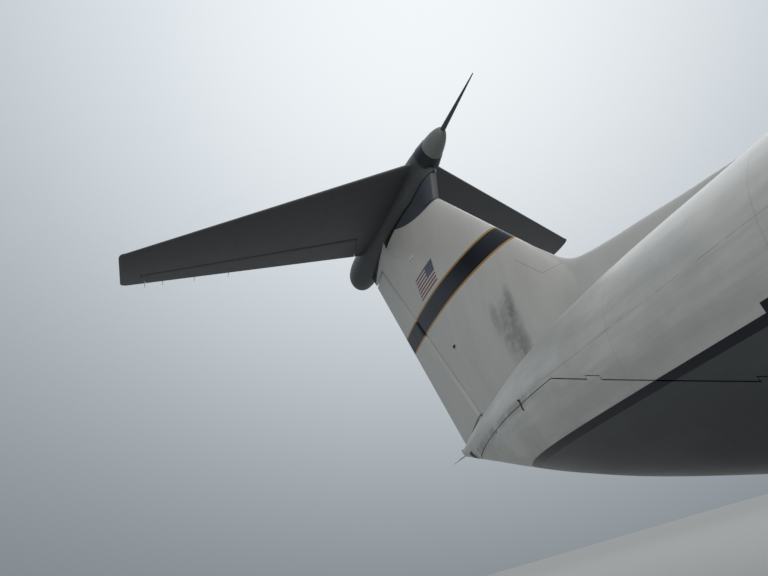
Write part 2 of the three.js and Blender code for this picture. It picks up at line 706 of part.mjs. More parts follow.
// The moving rear part of a wing section: its own skin behind the hinge, and a round nose about the hinge
function surfaceRing(row, hinge, camber) {
  const behind = [hinge, hinge + (1 - hinge) * 0.5, 1];
  const top = behind.map((f) => wingPoint(row, f, 1, camber));
  const bottom = behind.map((f) => wingPoint(row, f, -1, camber)).reverse();
  const [a, b] = [top[0], bottom[2]];
  const centre = a.map((v, k) => (v + b[k]) / 2);
  const arm = a.map((v, k) => v - centre[k]);
  const radius = Math.hypot(...arm);
  const nose = [0.75, 0.5, 0.25].map((t) => {
    const angle = Math.PI * t;
    const forward = [radius * Math.sin(angle), 0, 0];
    return centre.map((v, k) => v + arm[k] * Math.cos(angle) + forward[k]);
  });
  return { ring: [...top, ...bottom, ...nose], centre, radius };
}

// A moving surface's plan: its ends are square to the hinge line, so that they turn in their own planes
function surfacePlan(inner, outer, ahead, gap) {
  const line = unitFrom([...inner.centre.slice(0, 2), 0], [...outer.centre.slice(0, 2), 0]);
  const aft = [-line[1], line[0], 0];
  const corner = (end, side, back) => along(along(end.centre, line, side * gap), aft, back).slice(0, 2);
  return [
    corner(inner, -1, -(inner.radius + ahead)),
    corner(outer, 1, -(outer.radius + ahead)),
    corner(outer, 1, SURFACE_REACH.aft),
    corner(inner, -1, SURFACE_REACH.aft),
  ];
}

function controlSurface(table, panel, from, to, hinge, camber) {
  const ring = (s) => surfaceRing(sectionOn(table, panel, s), hinge, camber);
  const [inner, outer] = [ring(from), ring(to)];
  const { ahead, low, high } = SURFACE_REACH;
  const whole = loft([ring(from - SURFACE_REACH.inner).ring, ring(to + SURFACE_REACH.outer).ring]);
  return {
    solid: whole.intersect(planPrism(surfacePlan(inner, outer, ahead, 0), low, high)),
    cutter: planPrism(surfacePlan(inner, outer, HINGE_CLEAR, CLEAR), low, high),
    ends: [inner.centre, outer.centre],
  };
}

function pinBothEnds(moverName, carrierName, [inner, outer]) {
  const outward = unitFrom(inner, outer);
  const inward = unitFrom(outer, inner);
  addPin(moverName + "_left", carrierName + "_left", inner, inward, CLEAR);
  addPin(moverName + "_left", carrierName + "_left", outer, outward, CLEAR);
  addPin(moverName + "_right", carrierName + "_right", flipped(inner), flipped(inward), CLEAR);
  addPin(moverName + "_right", carrierName + "_right", flipped(outer), flipped(outward), CLEAR);
}

function buildWings() {
  const surfaces = WING_SURFACES.map(([name, from, to, panel]) => ({
    name,
    ...controlSurface(WING, panel, from, to, WING_HINGE, WING_CAMBER),
  }));
  const wing = largest(surfaces.reduce((left, { cutter }) => left.subtract(cutter), wingSolid()));
  make("wing_left", wing, FINISH.grey);
  make("wing_right", mirrored(wing), FINISH.grey);
  surfaces.forEach(({ name, solid, ends }) => {
    make(name + "_left", solid, FINISH.grey);
    make(name + "_right", mirrored(solid), FINISH.grey);
    pinBothEnds(name, "wing", ends);
  });

  const hump = loft(
    WING_FAIRING.map(([x, ridge, half]) =>
      Array.from({ length: 20 }, (_, i) => {
        const angle = (2 * Math.PI * i) / 20;
        const tall = Math.sin(angle) > 0 ? ridge - FAIRING_BASE.height : FAIRING_BASE.depth;
        return [x, half * Math.cos(angle), FAIRING_BASE.height + tall * Math.sin(angle)];
      }),
    ),
  );
  const [front, rear] = [WING_FAIRING[0][0], WING_FAIRING[WING_FAIRING.length - 1][0]];
  const fairing = hump.subtract(body(rear - 1, front + 1, SEAT)).subtract(wingCutter());
  make("wing_fairing", largest(fairing), FINISH.white);
}

// Fin sections are horizontal, so they are wing sections with span and thickness exchanged
function finRow(z) {
  const front = FIN.frontTop[0] + FIN.frontRun * (FIN.frontTop[1] - z);
  const rear = FIN.rearFoot[0] - FIN.rearRun * (z - FIN.rearFoot[1]);
  return [z, front, 0, front - rear, FIN.thick, 0];
}
const upright = (ring) => ring.map(([x, z, y]) => [x, y, z]);
const rudderHinge = (z) => {
  const run = (RUDDER.head[0] - RUDDER.foot[0]) / (RUDDER.head[1] - RUDDER.foot[1]);
  return RUDDER.foot[0] + run * (z - RUDDER.foot[1]);
};

function bulletSolid(grow) {
  const profile = BULLET.map(([x, r]) => [BULLET[0][0] - x, r]);
  const round = turned(profile, 20, grow).scale([1, BULLET_WIDTH, 1]);
  return moved(round, BULLET[0][0], 0, BULLET_HEIGHT);
}

function stabiliserSolid(grow) {
  const half = [...STABILISER, STABILISER_TIP];
  const rows = [...half.slice(1).reverse().map(([y, ...rest]) => [-y, ...rest]), ...half];
  return loft(rows.map((row) => wingRing(row, 0, grow)));
}

function buildTail() {
  const dorsal = loft(
    DORSAL.map(([x, ridge, half]) => {
      const shoulder = DORSAL_FOOT + (ridge - DORSAL_FOOT) * DORSAL_SHOULDER.height;
      const side = [
        [x, half, DORSAL_FOOT],
        [x, half * DORSAL_SHOULDER.width, shoulder],
        [x, DORSAL_RIDGE, ridge],
      ];
      return [...side.map(flipped), ...side.reverse()];
    }),
  );
  const hingeRow = (z) => {
    const row = finRow(z);
    const at = (row[1] - rudderHinge(z)) / row[3];
    return surfaceRing(row, at, 0);
  };
  const ends = [RUDDER.foot[1], RUDDER.top].map(hingeRow);
  const front = (end) => end.centre[0] + end.radius + HINGE_CLEAR;
  const slope = (front(ends[1]) - front(ends[0])) / (RUDDER.top - RUDDER.foot[1]);
  const cutTop = RUDDER.top + RUDDER.topGap;
  const cut = sidePrism(
    [
      [front(ends[0]) - slope * 0.8, RUDDER.foot[1] - 0.8],
      [front(ends[1]) + slope * RUDDER.topGap, cutTop],
      [-6, cutTop],
      [-6, RUDDER.foot[1] - 0.8],
    ],
    -2,
    2,
  );
  const fin = loft(FIN_LEVELS.map((z) => upright(wingRing(finRow(z), 0, 0))))
    .add(dorsal)
    .subtract(cut)
    .subtract(body(0, 20, SEAT))
    .subtract(bulletSolid(SEAT))
    .subtract(stabiliserSolid(SEAT));
  make("fin", largest(fin), FINISH.white);

  const sill = (x) => [x, RUDDER_SILL.height + RUDDER_SILL.slope * x];
  const aboveSill = sidePrism([sill(-4), [-4, 12], [8, 12], sill(8)], -2, 2);
  const rudder = loft([hingeRow(4.0), hingeRow(RUDDER.top)].map((end) => upright(end.ring)));
  make("rudder", largest(rudder.intersect(aboveSill).subtract(body(0, 20, CLEAR))), FINISH.white);
  const [footEnd, topEnd] = ends.map((end) => [end.centre[0], 0, end.centre[1]]);
  addPin("rudder", "fin", topEnd, unitFrom(footEnd, topEnd), RUDDER.topGap);
  addPin("rudder", "fuselage_aft", footEnd, unitFrom(topEnd, footEnd), RUDDER.topGap);

  const elevator = controlSurface(STABILISER, 0, ELEVATOR.inner, ELEVATOR.outer, ELEVATOR.hinge, 0);
  const stabiliser = stabiliserSolid(0).subtract(elevator.cutter).subtract(mirrored(elevator.cutter));
  make("stabiliser", largest(stabiliser), FINISH.grey);
  make("elevator_left", elevator.solid, FINISH.grey);
  make("elevator_right", mirrored(elevator.solid), FINISH.grey);
  const [elevatorInner, elevatorOuter] = elevator.ends;
  [
    [elevatorInner, unitFrom(elevatorOuter, elevatorInner)],
    [elevatorOuter, unitFrom(elevatorInner, elevatorOuter)],
  ].forEach(([end, outward]) => {
    addPin("elevator_left", "stabiliser", end, outward, CLEAR);
    addPin("elevator_right", "stabiliser", flipped(end), flipped(outward), CLEAR);
  });

  const [probeRoot, probeTip] = [PROBE.root, PROBE.tip].map(([x, z]) => [x, 0, z]);
  const probe = bar(probeRoot, probeTip, PROBE.radius, 12, PROBE.point);
  make("tail_bullet", largest(bulletSolid(0).subtract(stabiliserSolid(SEAT))), FINISH.grey);
  make("tail_probe", largest(probe.subtract(bulletSolid(SEAT))), FINISH.darkGrey);
}

function buildEngines() {
  const length = NACELLE[NACELLE.length - 1][0];
  const nacelle = turned([...NACELLE, ...DUCT, NACELLE[0]], NACELLE_SIDES);
  const nacelleFilled = turned([[0, 0], ...NACELLE, [length, 0]], NACELLE_SIDES, SEAT);
  const caseRadius = DUCT[DUCT.length - 1][1];
  const engine = turned(
    ENGINE.map(([d, r]) => [d, r === caseRadius ? r - SEAT : r]),
    NACELLE_SIDES,
  );
  ENGINES.forEach(([number, y, lip, z]) => {
    make("nacelle_" + number, nacelle, FINISH.grey, [lip, y, z]);
    make("engine_" + number, engine, FINISH.metal, [lip, y, z]);
    const [, leading, wingHeight] = sectionAt(WING, Math.abs(y));
    const ring = ({ front, rear, up }, datumX, datumZ) =>
      PYLON_SECTION.map(([f, half]) => [datumX - rear + f * (rear - front), y + half, datumZ + up]);
    const pylon = loft([
      ring(PYLON.inNacelle, lip, z),
      ring(PYLON.onNacelle, lip, z),
      ring(PYLON.inWing, leading, wingHeight),
    ]);
    const wing = y > 0 ? wingSolid(SEAT) : mirrored(wingSolid(SEAT));
    const cut = pylon.subtract(moved(nacelleFilled, lip, y, z)).subtract(wing);
    make("pylon_" + number, largest(cut), FINISH.grey);
  });
}

// A wheel's section turned about y: tyre with round shoulders over a dished rim
function wheel(radius, width) {
  const half = width / 2;
  const outline = [[HUB.bore, half * HUB.width], ...WHEEL_SECTION.map(([r, w]) => [r * radius, w * half])];
  const profile = [...outline, ...outline.map(([r, w]) => [r, -w]).reverse(), outline[0]];
  const points = profile.map(([r, w]) => new THREE.Vector2(r * M, w * M));
  return solidOf(new THREE.LatheGeometry(points, WHEEL_SIDES));
}

// Twin wheels on one axle, whose shoulders run against the sides of the leg or beam between them
function wheelPair({ radius, width, wheelStep }, carrierHalf) {
  const one = wheel(radius, width);
  const reach = wheelStep + AXLE.past;
  const axle = bar([0, -reach, 0], [0, reach, 0], AXLE.radius, AXLE.sides);
  const shoulder = bar([0, carrierHalf + SEAT, 0], [0, wheelStep, 0], AXLE.shoulder, AXLE.sides);
  const port = moved(one, 0, wheelStep, 0).add(shoulder);
  return joined([port, mirrored(port), axle]);
}

// The bore's flats stay clear of the axle's corners as it turns
function axleBore(x, y, z) {
  const radius = (AXLE.radius + SEAT) / Math.cos(Math.PI / AXLE.sides);
  return bar([x, y - 0.5, z], [x, y + 0.5, z], radius, AXLE.sides);
}

function podRing([x, cy, cz, half, tall]) {
  return Array.from({ length: 20 }, (_, i) => {
    const angle = (2 * Math.PI * (i + 0.5)) / 20;
    const [c, s] = [Math.cos(angle), Math.sin(angle)];
    const bulge = (v) => Math.sign(v) * Math.abs(v) ** POD_POWER;
    return [x, cy + half * bulge(c), cz + tall * bulge(s)];
  });
}

function buildMainGear() {
  const { x, y, axleStep, radius } = MAIN_GEAR;
  const well = box(
    [x - WELL.halfLength, WELL.inner, BELOW_HULL],
    [x + WELL.halfLength, WELL.outer, WELL.top],
  );
  const [podFront, podRear] = [POD[0][0], POD[POD.length - 1][0]];
  const pod = loft(POD.map(podRing)).subtract(body(podRear - 1, podFront + 1, SEAT)).subtract(well);
  const podPort = largest(pod);
  make("gear_pod_left", podPort, FINISH.grey);
  make("gear_pod_right", mirrored(podPort), FINISH.grey);

  const top = WELL.top - SEAT;
  const beam = axleStep + MAIN_LEG.beamEnd;
  const braceFoot = [x + MAIN_BRACE.aft, y, MAIN_BRACE.foot];
  const braceHead = [x + MAIN_BRACE.front, y, top - MAIN_BRACE.drop];
  const leg = joined([
    bar([x, y, radius + 0.1], [x, y, top], MAIN_LEG.thin),
    bar([x, y, MAIN_LEG.thickFoot], [x, y, top], MAIN_LEG.thick),
    box(
      [x - beam, y - MAIN_LEG.beamHalf, radius - MAIN_LEG.beamDrop],
      [x + beam, y + MAIN_LEG.beamHalf, radius + MAIN_LEG.beamEnd],
    ),
    bar(braceFoot, braceHead, MAIN_BRACE.radius, 12),
  ])
    .subtract(axleBore(x - axleStep, y, radius))
    .subtract(axleBore(x + axleStep, y, radius));
  make("main_leg_left", leg, FINISH.metal);
  make("main_leg_right", mirrored(leg), FINISH.metal);
  const pair = wheelPair(MAIN_GEAR, MAIN_LEG.beamHalf);
  [1, -1].forEach((side) => {
    [1, -1].forEach((end) => {
      const name = "main_wheels_" + (end > 0 ? "front" : "rear") + (side > 0 ? "_left" : "_right");
      make(name, pair, FINISH.rubber, [x + end * axleStep, side * y, radius]);
    });
  });
}

function buildNoseGear() {
  const { x, radius } = NOSE_GEAR;
  const { hubHalf, hubSide } = NOSE_LEG;
  const strutFoot = [x - NOSE_STRUT.aft, 0, radius + NOSE_STRUT.low];
  const strutHead = [x - NOSE_STRUT.front, 0, NOSE_STRUT.top];
  const leg = joined([
    bar([x, 0, radius + 0.05], [x, 0, NOSE_LEG.top], NOSE_LEG.radius),
    bar([x, 0, NOSE_LEG.collarFoot], [x, 0, NOSE_LEG.top], COLLAR.radius, COLLAR.sides),
    box([x - hubHalf, -hubSide, radius - hubHalf], [x + hubHalf, hubSide, radius + hubHalf]),
    box(
      [x - NOSE_LINK.aft, -NOSE_LINK.half, radius + NOSE_LINK.low],
      [x - NOSE_LINK.front, NOSE_LINK.half, radius + NOSE_LINK.high],
    ),
    bar(strutFoot, strutHead, NOSE_STRUT.radius, 10),
  ]).subtract(axleBore(x, 0, radius));
  make("nose_leg", leg, FINISH.metal);
  make("nose_wheels", wheelPair(NOSE_GEAR, hubSide), FINISH.rubber, [x, 0, radius]);
}

buildFuselage();
buildDoors();
buildInterior();
buildWings();
buildTail();
buildEngines();
buildMainGear();
buildNoseGear();

pieces.forEach((piece, name) => aircraft.add(meshOf(name, piece)));

export default aircraft;
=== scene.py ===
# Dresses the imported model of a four-engined T-tail military transport plane, parked on its gear.
# Shapes are worked out in the real aircraft's metres: x forward from the end of the tail cone, y to port,
# z up from the ground. The mesh maker turns them into the frame's metres, at half that size.
import json
import math

import bmesh
import bpy
import numpy as np
from mathutils import Matrix, Vector

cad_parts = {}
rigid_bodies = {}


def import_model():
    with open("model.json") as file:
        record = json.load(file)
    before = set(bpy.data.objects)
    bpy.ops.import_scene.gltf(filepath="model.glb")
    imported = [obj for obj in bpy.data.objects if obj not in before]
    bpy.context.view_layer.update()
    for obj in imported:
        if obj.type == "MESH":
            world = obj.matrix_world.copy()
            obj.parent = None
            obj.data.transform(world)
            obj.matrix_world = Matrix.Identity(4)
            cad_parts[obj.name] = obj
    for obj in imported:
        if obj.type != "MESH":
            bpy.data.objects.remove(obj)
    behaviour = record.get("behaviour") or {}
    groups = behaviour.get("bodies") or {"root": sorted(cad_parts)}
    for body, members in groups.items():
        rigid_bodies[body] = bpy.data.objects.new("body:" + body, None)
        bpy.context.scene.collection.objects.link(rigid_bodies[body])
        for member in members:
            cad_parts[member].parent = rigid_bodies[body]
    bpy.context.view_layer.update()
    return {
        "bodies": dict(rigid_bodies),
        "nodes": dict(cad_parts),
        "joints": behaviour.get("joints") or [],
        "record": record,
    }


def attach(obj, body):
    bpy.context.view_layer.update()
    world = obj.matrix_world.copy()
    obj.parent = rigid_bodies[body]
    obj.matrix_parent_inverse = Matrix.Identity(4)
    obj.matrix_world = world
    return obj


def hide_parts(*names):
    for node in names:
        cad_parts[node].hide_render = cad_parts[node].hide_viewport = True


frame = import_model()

# the model's size over the real one, the ends of the whole aircraft, and gaps: between seated pieces,
# round doors, and ahead of a moving surface's round nose
SCALE = 0.5
NOSE_TIP = 47.41
TAIL_TIP = -3.88
MIDDLE = (NOSE_TIP + TAIL_TIP) / 2
SEAT = 0.0006
CLEAR = 0.016
HINGE_CLEAR = 0.012
SIDES = (("left", 1), ("right", -1))

# Surfaces from grids of points


def smooth(xs, ys, x):
    """A curve through the points (xs, ys) that never overshoots them: cubic pieces whose slope at each
    point is the weighted harmonic mean of its neighbours' slopes, or nought where the slope changes
    sign."""
    xs, ys, x = np.asarray(xs, float), np.asarray(ys, float), np.asarray(x, float)
    run = np.diff(xs)
    rise = np.diff(ys) / run
    first, second = 2 * run[1:] + run[:-1], run[1:] + 2 * run[:-1]
    same = rise[:-1] * rise[1:] > 0
    before, after = np.where(same, rise[:-1], 1.0), np.where(same, rise[1:], 1.0)
    mean = np.where(same, (first + second) / (first / before + second / after), 0)
    slope = np.concatenate([rise[:1], mean, rise[-1:]])
    i = np.clip(np.searchsorted(xs, x, "right") - 1, 0, len(xs) - 2)
    t = np.clip((x - xs[i]) / run[i], 0, 1)
    return (
        (1 + 2 * t) * (1 - t) ** 2 * ys[i]
        + t * (1 - t) ** 2 * run[i] * slope[i]
        + t * t * (3 - 2 * t) * ys[i + 1]
        + t * t * (t - 1) * run[i] * slope[i + 1]
    )


def rounded(points, steps):
    """A smooth line through the rows of points: between two rows, the cubic whose slopes follow their
    neighbours, sampled steps times."""
    p = np.asarray(points, float)
    gap = np.sqrt(np.linalg.norm(np.diff(p, axis=0), axis=1)) + 1e-9
    along = np.concatenate([[0], np.cumsum(gap)])
    t = steps_between(along, None, steps)
    return np.stack([smooth(along, p[:, k], t) for k in range(p.shape[1])], -1)


def steps_between(stops, step, count=None):
    """Rising values that pass through every stop, with gaps of about step, or count gaps, between two
    stops."""
    pairs = zip(stops[:-1], stops[1:])
    runs = [np.linspace(a, b, count or max(1, round((b - a) / step)), endpoint=False) for a, b in pairs]
    return np.concatenate(runs + [stops[-1:]])


def circle(count, closed=False):
    """Angles of one turn; closed repeats the first at the end."""
    return np.linspace(0, 2 * np.pi, count + closed, endpoint=closed)


def cells(index, present=None):
    """The four corner numbers of each cell of a grid of vertex numbers, for the cells that are
    present."""
    quads = np.stack([index[:-1, :-1], index[1:, :-1], index[1:, 1:], index[:-1, 1:]], -1)
    return quads.reshape(-1, 4) if present is None else quads[present]


def sheet(grid):
    """A net (points, faces) of one grid."""
    rows, columns = grid.shape[:2]
    return grid.reshape(-1, 3), cells(np.arange(rows * columns).reshape(rows, columns))


def capped(grid):
    """A closed net through the rings that are the grid's rows: each end is closed by a fan to the ring's
    centre."""
    ends = [np.broadcast_to(grid[k].mean(0), grid[k].shape)[None] for k in (0, -1)]
    closed = np.concatenate([ends[0], grid, ends[1]])
    return sheet(np.concatenate([closed, closed[:, :1]], 1))


def shell(outer, inner, present=None, around=False, tips=(False, False)):
    """A closed wall between two grids: the cells that are present, out and in, and a strip across the
    wall along every edge between a present and an absent cell. Around joins the last column to the first,
    and a tip is an end row that is a single point."""
    rows, columns = outer.shape[:2]
    present = np.ones((rows - 1, columns - 1), bool) if present is None else present
    a = np.arange(rows * columns).reshape(rows, columns)
    b = a + rows * columns
    padded = np.pad(present, 1)
    if around:
        padded[1:-1, 0], padded[1:-1, -1] = present[:, -1], present[:, 0]
    for end, tip in zip((0, -1), tips):
        if tip:
            padded[end, 1:-1] = present[end]
    r, c = np.nonzero(padded[1:, 1:-1] != padded[:-1, 1:-1])
    across = np.stack([a[r, c], a[r, c + 1], b[r, c + 1], b[r, c]], -1)
    r, c = np.nonzero((padded[1:-1, 1:] != padded[1:-1, :-1])[:, : columns - around])
    lengthways = np.stack([a[r, c], a[r + 1, c], b[r + 1, c], b[r, c]], -1)
    faces = np.concatenate([cells(a, present), cells(b, present)[:, ::-1], across, lengthways])
    return np.concatenate([outer.reshape(-1, 3), inner.reshape(-1, 3)]), faces


def together(*nets):
    """Several nets as one."""
    starts = np.cumsum([0] + [len(points) for points, _ in nets])
    faces = [faces + start for (_, faces), start in zip(nets, starts)]
    return np.concatenate([points for points, _ in nets]), np.concatenate(faces)


def on_side(net, sign):
    """The net itself for the port side, or its mirror image in the middle plane for starboard."""
    points, faces = net
    return (points, faces) if sign > 0 else (points * [1, -1, 1], faces[:, ::-1])


def both_sides(net):
    """A net and its mirror image in the middle plane, as one."""
    return together(net, on_side(net, -1))


def moved(net, x, y, z):
    """A net with the same amounts added to every point."""
    return net[0] + [x, y, z], net[1]


def made_mesh(name, net, crease, materials=()):
    """A mesh of a net, in the frame's metres, with doubles merged, loose points removed and faces
    outwards. Faces on the second half of a wall's points, its inside, take the second material if there
    is one."""
    points, faces = net
    mesh = bpy.data.meshes.new(name)
    mesh.from_pydata(((points - [MIDDLE, 0, 0]) * SCALE).tolist(), [], faces.tolist())
    for material in materials:
        mesh.materials.append(material)
    if len(materials) > 1:
        inside = faces.min(1) >= len(points) // 2
        mesh.polygons.foreach_set("material_index", inside.astype(np.int32))
    work = bmesh.new()
    work.from_mesh(mesh)
    bmesh.ops.remove_doubles(work, verts=work.verts, dist=4e-5)
    bmesh.ops.dissolve_degenerate(work, edges=work.edges, dist=1e-6)
    bmesh.ops.delete(work, geom=[v for v in work.verts if not v.link_faces], context="VERTS")
    bmesh.ops.recalc_face_normals(work, faces=work.faces)
    work.to_mesh(mesh)
    work.free()
    mesh.shade_smooth()
    mesh.set_sharp_from_angle(angle=math.radians(crease))
    return mesh


def linked(name, data):
    """An object at the origin that holds the mesh, camera or lamp."""
    obj = bpy.data.objects.new(name, data)
    bpy.context.scene.collection.objects.link(obj)
    return obj


def piece(name, net, finish, body="airframe", replaces=(), crease=32, cuts=(), kept=None, lining=None):
    """A piece of the object from a net, with nets cut out of it, or with only what lies in the net kept.
    Lining names the finish of a wall's inside."""
    material, slot = FINISH[finish]
    materials = [material] + ([FINISH[lining][0]] if lining else [])
    obj = linked(name, made_mesh(name, net, crease, materials))
    tools = [("DIFFERENCE", cut) for cut in cuts] + ([("INTERSECT", kept)] if kept is not None else [])
    others = []
    for operation, tool in tools:
        other = linked("cutter", made_mesh("cutter", tool, crease))
        modifier = obj.modifiers.new("cut", "BOOLEAN")
        modifier.operation, modifier.solver, modifier.object = operation, "EXACT", other
        others.append(other)
    if tools:
        graph = bpy.context.evaluated_depsgraph_get()
        mesh = bpy.data.meshes.new_from_object(obj.evaluated_get(graph))
        obj.modifiers.clear()
        obj.data = mesh
        mesh.name = name
        mesh.shade_smooth()
        mesh.set_sharp_from_angle(angle=math.radians(crease))
        for other in others:
            bpy.data.objects.remove(other)
    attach(obj, body)
    if replaces:
        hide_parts(*replaces)
    return obj


def turned(profile, sides, squash=1.0):
    """A closed net of a profile of [distance aft, radius] rows turned about the x axis: y is radius times
    cosine times squash, and z is radius times sine."""
    profile = np.asarray(profile, float)
    angle = circle(sides, True)
    d, r = profile[:, :1], profile[:, 1:]
    return sheet(np.stack([-d + 0 * angle, r * np.cos(angle) * squash, r * np.sin(angle)], -1))


def rod(start, end, radius, sides=20, bevel=0.0):
    """A closed round bar from start to end, with its end edges taken off by bevel."""
    start, end = np.asarray(start, float), np.asarray(end, float)
    axis = (end - start) / np.linalg.norm(end - start)
    side = np.cross(axis, [0, 0, 1.0] if abs(axis[2]) < 0.9 else [1.0, 0, 0])
    side /= np.linalg.norm(side)
    angle = circle(sides)[:, None]
    ring = side * np.cos(angle) + np.cross(axis, side) * np.sin(angle)
    ends = [(start, radius - bevel), (end, radius - bevel)]
    if bevel:
        ends[1:1] = [(start + axis * bevel, radius), (end - axis * bevel, radius)]
    return capped(np.stack([centre + ring * r for centre, r in ends]))


def pipe(points, radii, sides=12, steps=5):
    """A closed round tube along the smooth line through the points: a ring square to the line at each
    step, whose radius runs evenly from the first of the radii to the last."""
    line = rounded(points, steps)
    ahead = np.gradient(line, axis=0)
    ahead /= np.linalg.norm(ahead, axis=1, keepdims=True)
    side = np.cross(ahead, [0.6, 0.5, 0.62])
    side /= np.linalg.norm(side, axis=1, keepdims=True)
    angle = circle(sides)[None, :, None]
    ring = side[:, None] * np.cos(angle) + np.cross(ahead, side)[:, None] * np.sin(angle)
    return capped(line[:, None] + ring * np.linspace(radii[0], radii[-1], len(line))[:, None, None])


def dome(place, reach, rows=9, columns=20):
    """A closed ellipsoid about a place: reach times the sine and cosine of latitude and longitude."""
    across, around = np.meshgrid(np.linspace(0, np.pi, rows), circle(columns, True), indexing="ij")
    ball = np.stack([np.sin(across) * np.cos(around), np.sin(across) * np.sin(around), np.cos(across)], -1)
    return sheet(np.asarray(place, float) + ball * reach)


def block(low, high):
    """A closed box between two corners."""
    (x0, y0, z0), (x1, y1, z1) = low, high
    ring = np.array([[0, y0, z0], [0, y1, z0], [0, y1, z1], [0, y0, z1]], float)
    return capped(np.stack([ring + [x, 0, 0] for x in (x0, x1)]))


def slab(low, high, edge):
    """A box between two corners whose long edges are taken off by edge: an octagon carried along x."""
    (x0, y0, z0), (x1, y1, z1) = low, high
    y, z = np.array([y0, y0 + edge, y1 - edge, y1]), np.array([z0, z0 + edge, z1 - edge, z1])
    ring = [(1, 0), (2, 0), (3, 1), (3, 2), (2, 3), (1, 3), (0, 2), (0, 1)]
    section = np.array([[0, y[a], z[b]] for a, b in ring])
    middle = section.mean(0)
    rows = [(x0, 1 - edge), (x0 + edge / 2, 1), (x1 - edge / 2, 1), (x1, 1 - edge)]
    return capped(np.stack([middle + (section - middle) * grow + [x, 0, 0] for x, grow in rows]))


def side_prism(outline, low, high):
    """An outline of [x, z] points carried from y = low to y = high."""
    return capped(np.stack([[[x, y, z] for x, z in outline] for y in (low, high)]).astype(float))


def plan_prism(outline, low, high):
    """An outline of [x, y] points carried from z = low to z = high."""
    return capped(np.stack([[[x, y, z] for x, y in outline] for z in (low, high)]).astype(float))


# Finishes


def colour(code):
    """A hex sRGB colour as linear values with alpha."""
    parts = [int(code[k : k + 2], 16) / 255 for k in (0, 2, 4)]
    return tuple(v / 12.92 if v <= 0.04045 else ((v + 0.055) / 1.055) ** 2.4 for v in parts) + (1.0,)


def shade(code, share):
    """A hex sRGB colour with its linear values multiplied by share."""
    return tuple(min(1.0, v * share) for v in colour(code)[:3]) + (1.0,)


def add(tree, kind, inputs=None, out=0, **settings):
    """Adds a shader node, sets its properties, fills its inputs with values or links, and returns one
    output."""
    node = tree.nodes.new("ShaderNode" + kind)
    for key, value in settings.items():
        setattr(node, key, value)
    for socket, value in (inputs or {}).items():
        if isinstance(value, bpy.types.NodeSocket):
            tree.links.new(value, node.inputs[socket])
        else:
            node.inputs[socket].default_value = value
    return node.outputs[out] if node.outputs else node


def new_finish(name, roughness, metallic=0.0, **sockets):
    """A material with its shader, and the place on the aircraft in real metres as a vector and as x, y
    and z."""
    material = bpy.data.materials.new(name)
    material.use_nodes = True
    tree = material.node_tree
    shader = tree.nodes["Principled BSDF"]
    shader.inputs["Roughness"].default_value = roughness
    shader.inputs["Metallic"].default_value = metallic
    for socket, value in sockets.items():
        shader.inputs[socket.replace("_", " ")].default_value = value
    here = add(tree, "TexCoord", out="Object")
    whole = {0: here, 1: (1 / SCALE,) * 3, 2: (MIDDLE, 0, 0)}
    place = add(tree, "VectorMath", whole, operation="MULTIPLY_ADD")
    xyz = [add(tree, "SeparateXYZ", {0: place}, out=k) for k in range(3)]
    return material, tree, shader, place, xyz


def weather(tree, place, stretch, size, detail=7.0):
    """Noise from 0 to 1 with spots of about size metres, drawn out along an axis whose stretch is under
    1."""
    pulled = add(tree, "VectorMath", {0: place, 1: stretch}, operation="MULTIPLY")
    noise = {"Vector": pulled, "Scale": 1 / size, "Detail": detail, "Roughness": 0.66}
    return add(tree, "TexNoise", noise)


def band(tree, value, middle, half, edge=0.004):
    """1 where a value lies within half of middle, and 0 past a soft edge."""
    off = add(tree, "Math", {0: value, 1: middle}, operation="SUBTRACT")
    far = add(tree, "Math", {0: off}, operation="ABSOLUTE")
    return add(tree, "MapRange", {0: far, 1: half, 2: half + edge, 3: 1.0, 4: 0.0})


def every(tree, value, pitch, half, edge=0.004):
    """1 on lines that come back at each multiple of pitch, half wide each way."""
    far = add(tree, "Math", {0: value, 1: pitch / 2}, operation="PINGPONG")
    return add(tree, "MapRange", {0: far, 1: half, 2: half + edge, 3: 1.0, 4: 0.0})


def both(tree, one, other):
    """Where two masks meet: their product."""
    return add(tree, "Math", {0: one, 1: other}, operation="MULTIPLY")


def segment(tree, place, start, end, half):
    """1 on the straight line in side view from start to end: bands along it and across it, multiplied."""
    (x0, z0), (x1, z1) = start, end
    length = math.dist(start, end)
    dx, dz = (x1 - x0) / length, (z1 - z0) / length
    masks = []
    for (a, b), middle, reach in (((dx, dz), length / 2, length / 2), ((-dz, dx), 0, half)):
        dot = {0: place, 1: (a, 0, b)}
        at = add(tree, "VectorMath", dot, out="Value", operation="DOT_PRODUCT")
        masks.append(band(tree, at, a * x0 + b * z0 + middle, reach))
    return both(tree, *masks)


def blot(tree, place, middle, reach):
    """A soft oval spot in side view: 1 at its middle, and 0 where the distance over the reach passes
    1."""
    (x, z), (rx, rz) = middle, reach
    scaled = {0: place, 1: (1 / rx, 0, 1 / rz), 2: (-x / rx, 0, -z / rz)}
    off = add(tree, "VectorMath", scaled, operation="MULTIPLY_ADD")
    far = add(tree, "VectorMath", {0: off}, out="Value", operation="LENGTH")
    fade = {0: far, 1: 0.35, 2: 1.0, 3: 1.0, 4: 0.0}
    return add(tree, "MapRange", fade, interpolation_type="SMOOTHSTEP")


def tinted(tree, base, layers):
    """A colour with layers over it: each is a mask, a colour and how the two are mixed."""
    for mask, code, blend in layers:
        mix = {0: mask, 6: base, 7: code if isinstance(code, tuple) else colour(code)}
        base = add(tree, "Mix", mix, out=2, data_type="RGBA", blend_type=blend)
    return base


